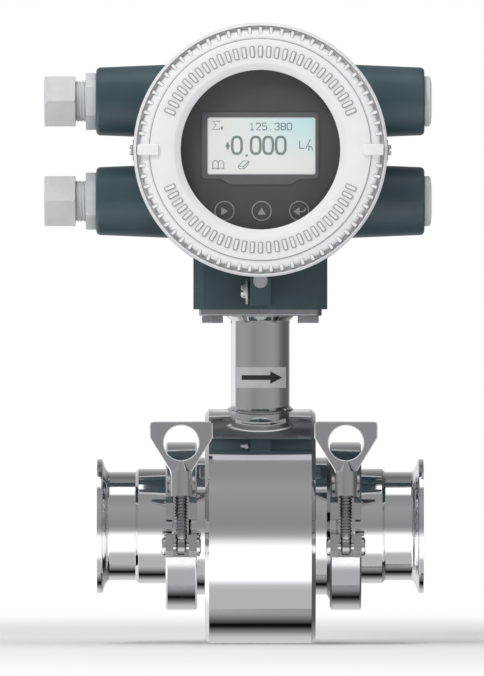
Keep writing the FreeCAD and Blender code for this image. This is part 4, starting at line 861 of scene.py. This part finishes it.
for clampSide in ("left", "right"):
    for half in ("upper", "lower"):
        softCopy("clamp" + half.title() + clampSide.title(), "clamp_" + half + "_" + clampSide,
                 brokenEdges["clamp"], castSteel, 3)
    makeWingNut(clampSide)
    makePin("pivot", clampSide, clampShape["boltDepth"], clampShape["pivot"])
    makePin("hinge", clampSide, clampShape["hingeDepth"], clampShape["hingeHeight"])
    makeSwivelBolt(clampSide)
print("clamps made")


# Neck, label and flange

labelShape = {
    "radius": 14.41,
    "turn": 1.6,
    "height": 71.4,
    "arrowStart": -9.3,
    "arrowHead": 4.4,
    "arrowTip": 10.3,
    "shaftHalf": 1.15,
    "headHalf": 3.05,
    "strips": 40,
}


def makeArrow():
    # a flat arrow in fine strips, then rolled round the neck
    p = labelShape
    start, head, tip, shaft = p["arrowStart"], p["arrowHead"], p["arrowTip"], p["shaftHalf"]
    outline = [(start, -shaft), (head, -shaft), (head, -p["headHalf"]), (tip, 0), (head, p["headHalf"]),
               (head, shaft), (start, shaft)]
    bm = bmesh.new()
    bm.faces.new([bm.verts.new((x * mm, 0, z * mm)) for x, z in outline])
    for step in range(1, p["strips"]):
        across = start + (tip - start) * step / p["strips"]
        bmesh.ops.bisect_plane(bm, geom=bm.verts[:] + bm.edges[:] + bm.faces[:], plane_co=(across * mm, 0, 0),
                               plane_no=(1, 0, 0))
    for vert in bm.verts:
        vert.co.y = -math.sqrt(p["radius"] ** 2 - (vert.co.x / mm) ** 2) * mm
        vert.co.z += p["height"] * mm
    bmesh.ops.rotate(bm, verts=bm.verts, cent=(0, 0, 0),
                     matrix=Matrix.Rotation(math.radians(p["turn"]), 3, "Z"))
    mesh = frontwards(bm, "flowArrow")
    mesh.shade_smooth()
    addPiece("flowArrow", mesh, arrowInk, (), "meter")


neckShape = {
    "radius": 14.1,
    "bore": 12.1,
    "footGap": 0.02,
    "beadRadius": 15.95,
    "beadTop": 58.0,
    "flareStart": 98.7,
    "flareRadius": 15.9,
    "top": 101.0,
}


def makeNeck():
    n = neckShape
    foot = sensorShape["barrelRadius"] + n["footGap"]
    radius, top = n["radius"], n["top"]
    section = [(foot, n["bore"]), (foot, n["beadRadius"] - 0.2), (foot + 0.35, n["beadRadius"]),
               (foot + 0.9, radius + 0.75), (n["beadTop"], radius + 0.05), (n["beadTop"] + 0.3, radius),
               (n["flareStart"], radius), (top - 0.4, n["flareRadius"]), (top, n["flareRadius"]),
               (top, n["bore"])]
    bm = bmesh.new()
    turn(bm, "Z", (0, 0, 0), section, 144)
    for vert in bm.verts:
        if vert.co.z < (n["beadTop"] + 1) * mm:
            # the foot follows the round of the barrel
            vert.co.z += math.sqrt((foot * mm) ** 2 - vert.co.y ** 2) - foot * mm
    flattenFaces(addPiece("neckTube", closeMesh(bm, "neckTube", sharp=14), neckSteel, ("neck_tube",)))


makeNeck()
softCopy("neckFlange", "neck_flange", brokenEdges["flange"])
softCopy("flangeBolts", "flange_bolts", brokenEdges["flange"])
makeArrow()
print("neck made")


# Converter: housing, covers and small fittings

softCopy("converterHousing", "housing", brokenEdges["housing"], angle=40)
for fitting, finish in (("earth_washer", zincPlate), ("earth_screw", zincPlate), ("lock_screws", zincPlate),
                        ("boss_plug", sealingCap)):
    first, second = fitting.split("_")
    softCopy(first + second.title(), fitting, brokenEdges["fitting"], finish)
print("housing made")

coverShape = {
    "axisHeight": 180.3,
    "front": -82.0,
    "rear": -67.0,
    "rim": 60.7,
    "rimInner": 59.25,
    "rimDrop": 1.8,
    "grooveDrop": 5.0,
    "grooveRadius": 57.6,
    "slopeRadius": 56.5,
    "slopeDrop": 2.6,
    "faceRadius": 52.75,
    "stepDrop": 0.85,
    "bevelRadius": 41.4,
    "windowRadius": 38.1,
    "bevelDrop": 3.2,
    "windowLip": 0.8,
    "glassRadius": 42.2,
    "glassRear": -71.8,
    "spigot": 53.3,
    "threadCrest": 53.95,
    "spigotEnd": -57.0,
    "cavity": 50.0,
    "threadPitch": 2.0,
    "ribs": 70,
    "ribsLeftOut": (17, 18, 52, 53),
    "ribOuter": 58.7,
    "ribInner": 55.2,
    "ribWidth": 1.9,
    "ribTop": -81.0,
    "ribCorner": 0.7,
    "ribEdge": 0.3,
    "lugOuter": 58.8,
    "lugInner": 48.6,
    "lugWidth": 5.4,
    "lugTop": -84.5,
    "lugCorner": 0.9,
    "lugEdge": 0.6,
    "tickOuter": 49.6,
    "tickInner": 44.0,
    "tickWidth": 2.3,
    "tickRise": 1.0,
    "tickCorner": 0.6,
    "tickEdge": 0.5,
    "tickStep": 4.8,
    "tickSpan": 70.0,
}
converterCentre = Vector((0, 0, coverShape["axisHeight"])) * mm


def addBars(bm, kind, bottom, height, angles, steps):
    # rounded bars along the radius, standing towards the viewer, one at each angle from the top
    c = coverShape
    inner, width = c[kind + "Inner"], c[kind + "Width"]
    length = c[kind + "Outer"] - inner
    template = bmesh.new()
    bmesh.ops.create_cube(template, size=1.0)
    bmesh.ops.scale(template, verts=template.verts, vec=(width * mm, height * mm, length * mm))
    upright = [e for e in template.edges if abs((e.verts[0].co - e.verts[1].co).normalized().y) > 0.9]
    bevelEdges(template, upright, c[kind + "Corner"], 4)
    front = [e for e in template.edges if all(v.co.y < -height * mm * 0.49 for v in e.verts)]
    bevelEdges(template, front, c[kind + "Edge"], steps)
    bmesh.ops.translate(template, verts=template.verts,
                        vec=converterCentre + Vector((0, bottom - height / 2, inner + length / 2)) * mm)
    shape = meshFrom(template, "barShape")
    for angle in angles:
        before = len(bm.verts)
        bm.from_mesh(shape)
        bm.verts.ensure_lookup_table()
        bmesh.ops.rotate(bm, verts=bm.verts[before:], cent=converterCentre,
                         matrix=Matrix.Rotation(math.radians(angle), 3, "Y"))
    bpy.data.meshes.remove(shape)


def makeFrontCover():
    c = coverShape
    front, rear = c["front"], c["rear"]
    crease = c["faceRadius"] + 0.4
    creaseEnd = c["faceRadius"] + 1.0
    section = [
        (front + c["bevelDrop"] + c["windowLip"], c["windowRadius"]),
        (front + c["bevelDrop"], c["windowRadius"]),
        (front + 0.25, c["bevelRadius"] - 0.35),
        (front, c["bevelRadius"] + 0.2),
        (front, c["faceRadius"] - 0.55),
        (front + 0.12, c["faceRadius"] - 0.2),
        (front + 0.4, c["faceRadius"]),
        (front + c["stepDrop"], c["faceRadius"] + 0.05),
        (front + c["stepDrop"], crease),
        (front + c["stepDrop"] + 0.05, creaseEnd),
        (front + c["stepDrop"] + 0.35, c["slopeRadius"] - 0.7),
        (front + c["stepDrop"] + 0.95, c["slopeRadius"] + 0.1),
        (front + c["slopeDrop"], c["slopeRadius"] + 0.7),
        (front + c["grooveDrop"] - 0.5, c["grooveRadius"] - 0.1),
        (front + c["grooveDrop"], c["grooveRadius"] + 0.3),
        (front + c["grooveDrop"], c["rimInner"] - 0.15),
        (front + c["rimDrop"] + 0.2, c["rimInner"]),
        (front + c["rimDrop"], c["rimInner"] + 0.15),
        (front + c["rimDrop"] + 0.1, c["rimInner"] + 0.4),
        (front + c["rimDrop"] + 1.1, c["rim"] - 0.1),
        (front + c["rimDrop"] + 1.5, c["rim"]),
        (rear - 0.4, c["rim"]),
        (rear, c["rim"] - 0.4),
        (rear, c["spigot"]),
        (c["spigotEnd"] - 0.6, c["spigot"]),
        (c["spigotEnd"], c["spigot"] - 0.6),
        (c["spigotEnd"], c["cavity"]),
        (c["glassRear"], c["cavity"]),
        (c["glassRear"], c["glassRadius"]),
        (front + c["bevelDrop"] + c["windowLip"], c["glassRadius"]),
    ]
    bm = bmesh.new()
    turn(bm, "Y", converterCentre, section, 240)
    thread(bm, "Y", converterCentre, rear + 0.6, c["spigotEnd"] - 0.5, c["spigot"] - 0.02, c["threadCrest"],
           c["threadPitch"], 120)
    ribAngles = [360 / c["ribs"] * number for number in range(c["ribs"]) if number not in c["ribsLeftOut"]]
    bottom = front + c["grooveDrop"] + 0.1
    addBars(bm, "rib", bottom, bottom - c["ribTop"], ribAngles, 1)
    addBars(bm, "lug", bottom, bottom - c["lugTop"], (90, 270), 2)
    # even raised tick marks in two arcs, above and below the window
    count = int(c["tickSpan"] / c["tickStep"])
    ticks = [half + c["tickStep"] * number for half in (0, 180) for number in range(-count, count + 1)]
    addBars(bm, "tick", front + 0.2, c["tickRise"] + 0.2, ticks, 1)
    mesh = closeMesh(bm, "frontCover", sharp=40)
    addPiece("frontCover", mesh, finishes["cover_silver"], ("front_cover",))
    mesh.materials.append(grooveShadePaint)
    mesh.materials.append(cornerShadePaint)
    # the slope's foot, the groove floor, the rim and the corners take the darker paints: painted shade where
    # the relief is shaded
    shadedGroove, shadedCorner = 1, 2
    for face in mesh.polygons:
        away = face.center - converterCentre
        radius = math.hypot(away.x, away.z) / mm
        drop = away.y / mm - front
        nearLug = abs(away.z) < 4 * mm
        if c["faceRadius"] < radius < crease and drop > 0.3:
            face.material_index = shadedCorner
        elif crease < radius < creaseEnd and not nearLug:
            face.material_index = shadedGroove
        elif drop > c["slopeDrop"] and c["slopeRadius"] < radius < c["rimInner"] + 0.05:
            face.material_index = shadedGroove
        elif radius > c["rimInner"] + 0.3 and drop < 5:
            face.material_index = shadedGroove
        elif abs(face.normal.y) < 0.85 and not nearLug:
            # the sides of the ticks, and the edges round the tops of the ribs: painted shade along their feet
            # and sides
            if drop < -0.05 or (radius > c["ribInner"] - 0.05 and 0.9 < drop < 1.4):
                face.material_index = shadedCorner


makeFrontCover()
softCopy("rearCover", "rear_cover", brokenEdges["rearCover"])
print("covers made")


# Cable glands and blanking plugs

glandShape = {
    "flats": 24.0,
    "collar": 5.0,
    "collarEdge": 0.4,
    "start": -79.0,
    "depth": 8.0,
    "stemEnd": -95.4,
    "spigotEnd": -68.0,
    "crest": 9.9,
    "root": 9.1,
    "bore": 7.0,
    "pitch": 1.5,
    "heights": {"upper": 204.3, "lower": 156.3},
}


def makeGland(level):
    g = glandShape
    start, stem, spigot, root = g["start"], g["stemEnd"], g["spigotEnd"], g["root"]
    centre = Vector((0, g["depth"], g["heights"][level])) * mm
    bm = bmesh.new()
    turn(bm, "X", centre, [(stem, g["bore"]), (stem, root - 0.4), (stem + 0.4, root), (spigot - 0.4, root),
                           (spigot, root - 0.4), (spigot, g["bore"])], 72)
    thread(bm, "X", centre, stem + 0.3, start - g["collar"] + 0.6, root - 0.02, g["crest"], g["pitch"], 72)
    collar = bmesh.new()
    corner = g["flats"] / math.sqrt(3) * mm
    bmesh.ops.create_cone(collar, cap_ends=True, segments=6, radius1=corner, radius2=corner,
                          depth=g["collar"] * mm)
    for angle, axis in ((math.radians(30), "Z"), (math.pi / 2, "Y")):
        bmesh.ops.rotate(collar, verts=collar.verts, cent=(0, 0, 0), matrix=Matrix.Rotation(angle, 3, axis))
    bmesh.ops.translate(collar, verts=collar.verts, vec=centre + Vector((start - g["collar"] / 2, 0, 0)) * mm)
    bevelEdges(collar, collar.edges[:], g["collarEdge"], 2, False)
    shape = meshFrom(collar, "collarShape")
    bm.from_mesh(shape)
    bpy.data.meshes.remove(shape)
    title = level.title()
    addPiece("glandBody" + title, closeMesh(bm, "glandBody" + title, sharp=30), finishes["gland_plastic"],
             ("gland_body_" + level,))
    softCopy("glandNut" + title, "gland_nut_" + level, brokenEdges["glandNut"], steps=3, angle=24)
    softCopy("blankingPlug" + title, "blanking_plug_" + level, brokenEdges["plug"])


makeGland("upper")
makeGland("lower")
print("cable entries made")


# Display and its face: digits, symbols and keys

# mm for each pixel of the photograph, and the pixel place of the frame's origin
photoPixels = {"scale": 0.48, "x": 260.4, "y": 526.4}
faceShape = {
    "inkDepth": -66.34,
    "keyDepth": -66.03,
    "panelFront": -66.3,
    "panelRear": -59.8,
    "frameFront": -66.6,
    "frameRear": -66.0,
    "cutFront": -70.0,
    "cutRear": -60.0,
    "frameFoot": 166.45,
    "frameCorner": 1.728,
    "tabShoulder": 18.95,
    "tabHalf": 14.75,
    "litLine": 0.45,
}
# the display panel's edges, corners and insets, in pixels of the photograph
panelPixels = {"left": 207.6, "top": 118.4, "right": 315.3, "bottom": 175.3, "corner": 2.4, "fit": 0.1,
               "lit": 0.7}


def atPixel(x, y, depth):
    scale = photoPixels["scale"]
    return Vector(((x - photoPixels["x"]) * scale, depth, (photoPixels["y"] - y) * scale)) * mm


def printedLines(paths, width, depth):
    # flat printed strokes through pixel places of the photograph; a path that ends where it starts is closed
    curve = bpy.data.curves.new("strokes", "CURVE")
    curve.dimensions = "3D"
    curve.bevel_depth = width / 2 * mm
    curve.bevel_resolution = 1
    for path in paths:
        closed = path[0] == path[-1]
        points = path[:-1] if closed else path
        spline = curve.splines.new("POLY")
        spline.points.add(len(points) - 1)
        spline.use_cyclic_u = closed
        for point, (x, y) in zip(spline.points, points):
            point.co = (*atPixel(x, y, 0), 1)
    holder = bpy.data.objects.new("strokes", curve)
    mesh = bpy.data.meshes.new_from_object(holder)
    bpy.data.objects.remove(holder)
    for vert in mesh.vertices:
        vert.co.y = vert.co.y * 0.02 + depth * mm
    return mesh


def joined(name, meshes):
    bm = bmesh.new()
    for mesh in meshes:
        bm.from_mesh(mesh)
        bpy.data.meshes.remove(mesh)
    return meshFrom(bm, name)


def ringPath(x, y, across, up, steps, power=1.0):
    # a closed round path; a power under 1 squares it off
    path = []
    for step in range(steps + 1):
        angle = 2 * math.pi * (step % steps) / steps
        c, s = math.cos(angle), math.sin(angle)
        path.append((x + across * math.copysign(abs(c) ** power, c),
                     y + up * math.copysign(abs(s) ** power, s)))
    return path


def panelPath(inset, steps=6):
    # the panel's outline with round corners, in pixel places, drawn in by the given pixels
    p = panelPixels
    corner = p["corner"]
    left, right = p["left"] + inset + corner, p["right"] - inset - corner
    top, bottom = p["top"] + inset + corner, p["bottom"] - inset - corner
    path = []
    for number, (x, y) in enumerate(((right, top), (left, top), (left, bottom), (right, bottom))):
        for step in range(steps + 1):
            angle = math.pi / 2 * (number + step / steps)
            path.append((x + corner * math.cos(angle), y - corner * math.sin(angle)))
    return path + [path[0]]


def panelOutline(inset):
    places = [atPixel(x, y, 0) / mm for x, y in panelPath(inset)[:-1]]
    return [(place.x, place.z) for place in places]


def makePanel():
    f = faceShape
    low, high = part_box("display_frame")
    half, top, foot, tab = high.x / mm, high.z / mm, f["frameFoot"], low.z / mm
    corner, cut = f["frameCorner"], f["frameCorner"] * 0.3
    # the right half of the bezel's outline, from the tab below it to the top
    right = [(f["tabHalf"], tab), (f["tabShoulder"], foot), (half - corner, foot), (half - cut, foot + cut),
             (half, foot + corner), (half, top - corner), (half - cut, top - cut), (half - corner, top)]
    # the left half mirrors it, and the whole outline starts at the lower left corner
    left = [(-x, z) for x, z in reversed(right)]
    bezel = plate("bezelPlate", left[3:] + right + left[:3], f["frameFront"], f["frameRear"])
    mesh = carve(bezel, plate("panelHole", panelOutline(0), f["cutFront"], f["cutRear"]))
    mesh.name = "displayFrame"
    piece = addPiece("displayFrame", mesh, finishes["grey_frame"], ("display_frame",))
    breakEdges(piece, brokenEdges["bezel"])
    panel = plate("displayPanel", panelOutline(panelPixels["fit"]), f["panelFront"], f["panelRear"])
    addPiece("displayPanel", panel, finishes["display"], ("display_panel",))
    edge = printedLines([panelPath(panelPixels["lit"])], f["litLine"], f["inkDepth"])
    addPiece("displayEdge", edge, displayLight, (), "meter")


digitPaths = {
    "0": [[(.2, 0), (.8, 0), (1, .15), (1, .85), (.8, 1), (.2, 1), (0, .85), (0, .15), (.2, 0)]],
    "1": [[(.15, .8), (.5, 1), (.5, 0)], [(.15, 0), (.85, 0)]],
    "2": [[(0, .8), (.2, 1), (.8, 1), (1, .8), (1, .6), (0, 0), (1, 0)]],
    "3": [[(0, .87), (.2, 1), (.8, 1), (1, .85), (1, .65), (.75, .52), (.4, .52)],
          [(.75, .52), (1, .4), (1, .15), (.8, 0), (.2, 0), (0, .13)]],
    "5": [[(.95, 1), (.05, 1), (.05, .58), (.75, .58), (1, .42), (1, .15), (.8, 0), (.2, 0), (0, .12)]],
    "8": [[(.2, .53), (0, .68), (0, .87), (.2, 1), (.8, 1), (1, .87), (1, .68), (.8, .53), (.2, .53)],
          [(.2, .53), (0, .38), (0, .14), (.2, 0), (.8, 0), (1, .14), (1, .38), (.8, .53)]],
    ".": [[(.4, .02), (.6, .02)]],
}
# what the display shows: places and sizes in pixels of the photograph, lines in mm
readingShape = {
    "zeros": (237.0, 255.7, 268.1, 280.6),
    "level": 146.3,
    "zeroAcross": 4.7,
    "zeroUp": 8.4,
    "zeroPower": 0.7,
    "zeroLine": 1.4,
    "signs": [[(225.6, 146.8), (230.0, 146.8)], [(227.8, 143.2), (227.8, 150.4)],
              [(245.4, 156.4), (248.0, 156.4)]],
    "signLine": 1.0,
}
symbolShape = {
    "counter": "125.380",
    "counterStart": (249.9, 130.9),
    "figureSize": (4.4, 6.7),
    "figurePitch": 6.2,
    "counterLine": 0.56,
    "sum": [[(219.4, 123.6), (219.4, 122.2), (212.6, 122.2), (216.4, 126.3), (212.6, 130.5), (219.6, 130.5),
             (219.6, 129.0)], [(220.4, 129.0), (223.8, 129.0)], [(222.1, 127.4), (222.1, 130.8)]],
    "sumLine": 0.46,
    "unit": [[(299.5, 141.8), (299.5, 149.3), (304.0, 149.3)], [(305.4, 149.6), (310.2, 140.4)],
             [(308.6, 146.4), (308.6, 151.6)],
             [(308.6, 148.2), (310.6, 147.2), (311.8, 148.6), (311.8, 151.6)]],
    "unitLine": 0.5,
    "book": [[(213.0, 170.0), (213.0, 163.0), (215.0, 161.4), (217.4, 161.8), (218.4, 163.4), (218.4, 170.0)],
             [(218.4, 163.4), (219.6, 161.8), (221.9, 161.4), (223.9, 163.0), (223.9, 170.0)],
             [(213.0, 170.0), (215.6, 168.8), (218.4, 170.0), (221.2, 168.8), (223.9, 170.0)]],
    "block": [[(238.4, 167.0), (243.2, 161.9), (249.0, 161.9), (249.0, 163.6), (244.4, 169.6), (239.6, 169.6),
               (238.2, 168.0), (238.4, 167.0)], [(238.4, 167.0), (243.6, 167.2), (249.0, 161.9)],
              [(243.6, 167.2), (244.4, 169.6)]],
    "iconLine": 0.38,
}


def makeDisplay():
    depth = faceShape["inkDepth"]
    r, s = readingShape, symbolShape
    zeros = [ringPath(x, r["level"], r["zeroAcross"], r["zeroUp"], 28, r["zeroPower"]) for x in r["zeros"]]
    reading = [printedLines(zeros, r["zeroLine"], depth), printedLines(r["signs"], r["signLine"], depth)]
    addPiece("displayReading", joined("displayReading", reading), displayInkDark, (), "meter")
    (x, y), (width, height) = s["counterStart"], s["figureSize"]
    counter = [[(x + number * s["figurePitch"] + a * width, y - b * height) for a, b in path]
               for number, figure in enumerate(s["counter"]) for path in digitPaths[figure]]
    groups = ((counter, "counterLine"), (s["sum"], "sumLine"), (s["unit"], "unitLine"),
              (s["book"] + s["block"], "iconLine"))
    symbols = [printedLines(paths, s[line], depth) for paths, line in groups]
    addPiece("displaySymbols", joined("displaySymbols", symbols), displayInk, (), "meter")


# the touch keys, in pixels of the photograph: each mark from the middle of its key, right and down
keyShape = {
    "places": (224.6, 261.6, 299.0),
    "level": 211.6,
    "ringRadius": 9.45,
    "ringLine": 1.15,
    "rightArrow": [(-3.2, -3.9), (3.7, 0.2), (-3.2, 4.4)],
    "upArrow": [(-4.1, 3.6), (0, -3.6), (4.1, 3.6)],
    "enterArrow": [(-5.9, 0.5), (0.4, -3.7), (0.4, 4.6)],
    "enterTail": [(0.2, 0.6), (4.4, 0.6), (6.0, -0.8), (6.2, -3.2)],
    "tailLine": 1.5625,
}


def makeKeys():
    k = keyShape
    depth, level, scale = faceShape["keyDepth"], k["level"], photoPixels["scale"]
    rings = [ringPath(x, level, k["ringRadius"], k["ringRadius"], 48) for x in k["places"]]
    marks = [printedLines(rings, k["ringLine"] * scale, depth)]
    for x, arrow in zip(k["places"], ("rightArrow", "upArrow", "enterArrow")):
        bm = bmesh.new()
        bm.faces.new([bm.verts.new(atPixel(x + a, level + b, depth)) for a, b in k[arrow]])
        marks.append(frontwards(bm, arrow))
    tail = [(k["places"][-1] + a, level + b) for a, b in k["enterTail"]]
    marks.append(printedLines([tail], k["tailLine"] * scale, depth))
    addPiece("keyMarks", joined("keyMarks", marks), keyInk, (), "meter")


makePanel()
makeDisplay()
makeKeys()
print("display made")


# Everything that still shows as a plain CAD node gets its material

for nodeName, cadObject in cadNodes.items():
    if not cadObject.hide_render:
        cadObject.material_slots[0].material = finishes[slotOf[nodeName]]
print("inner pieces dressed")
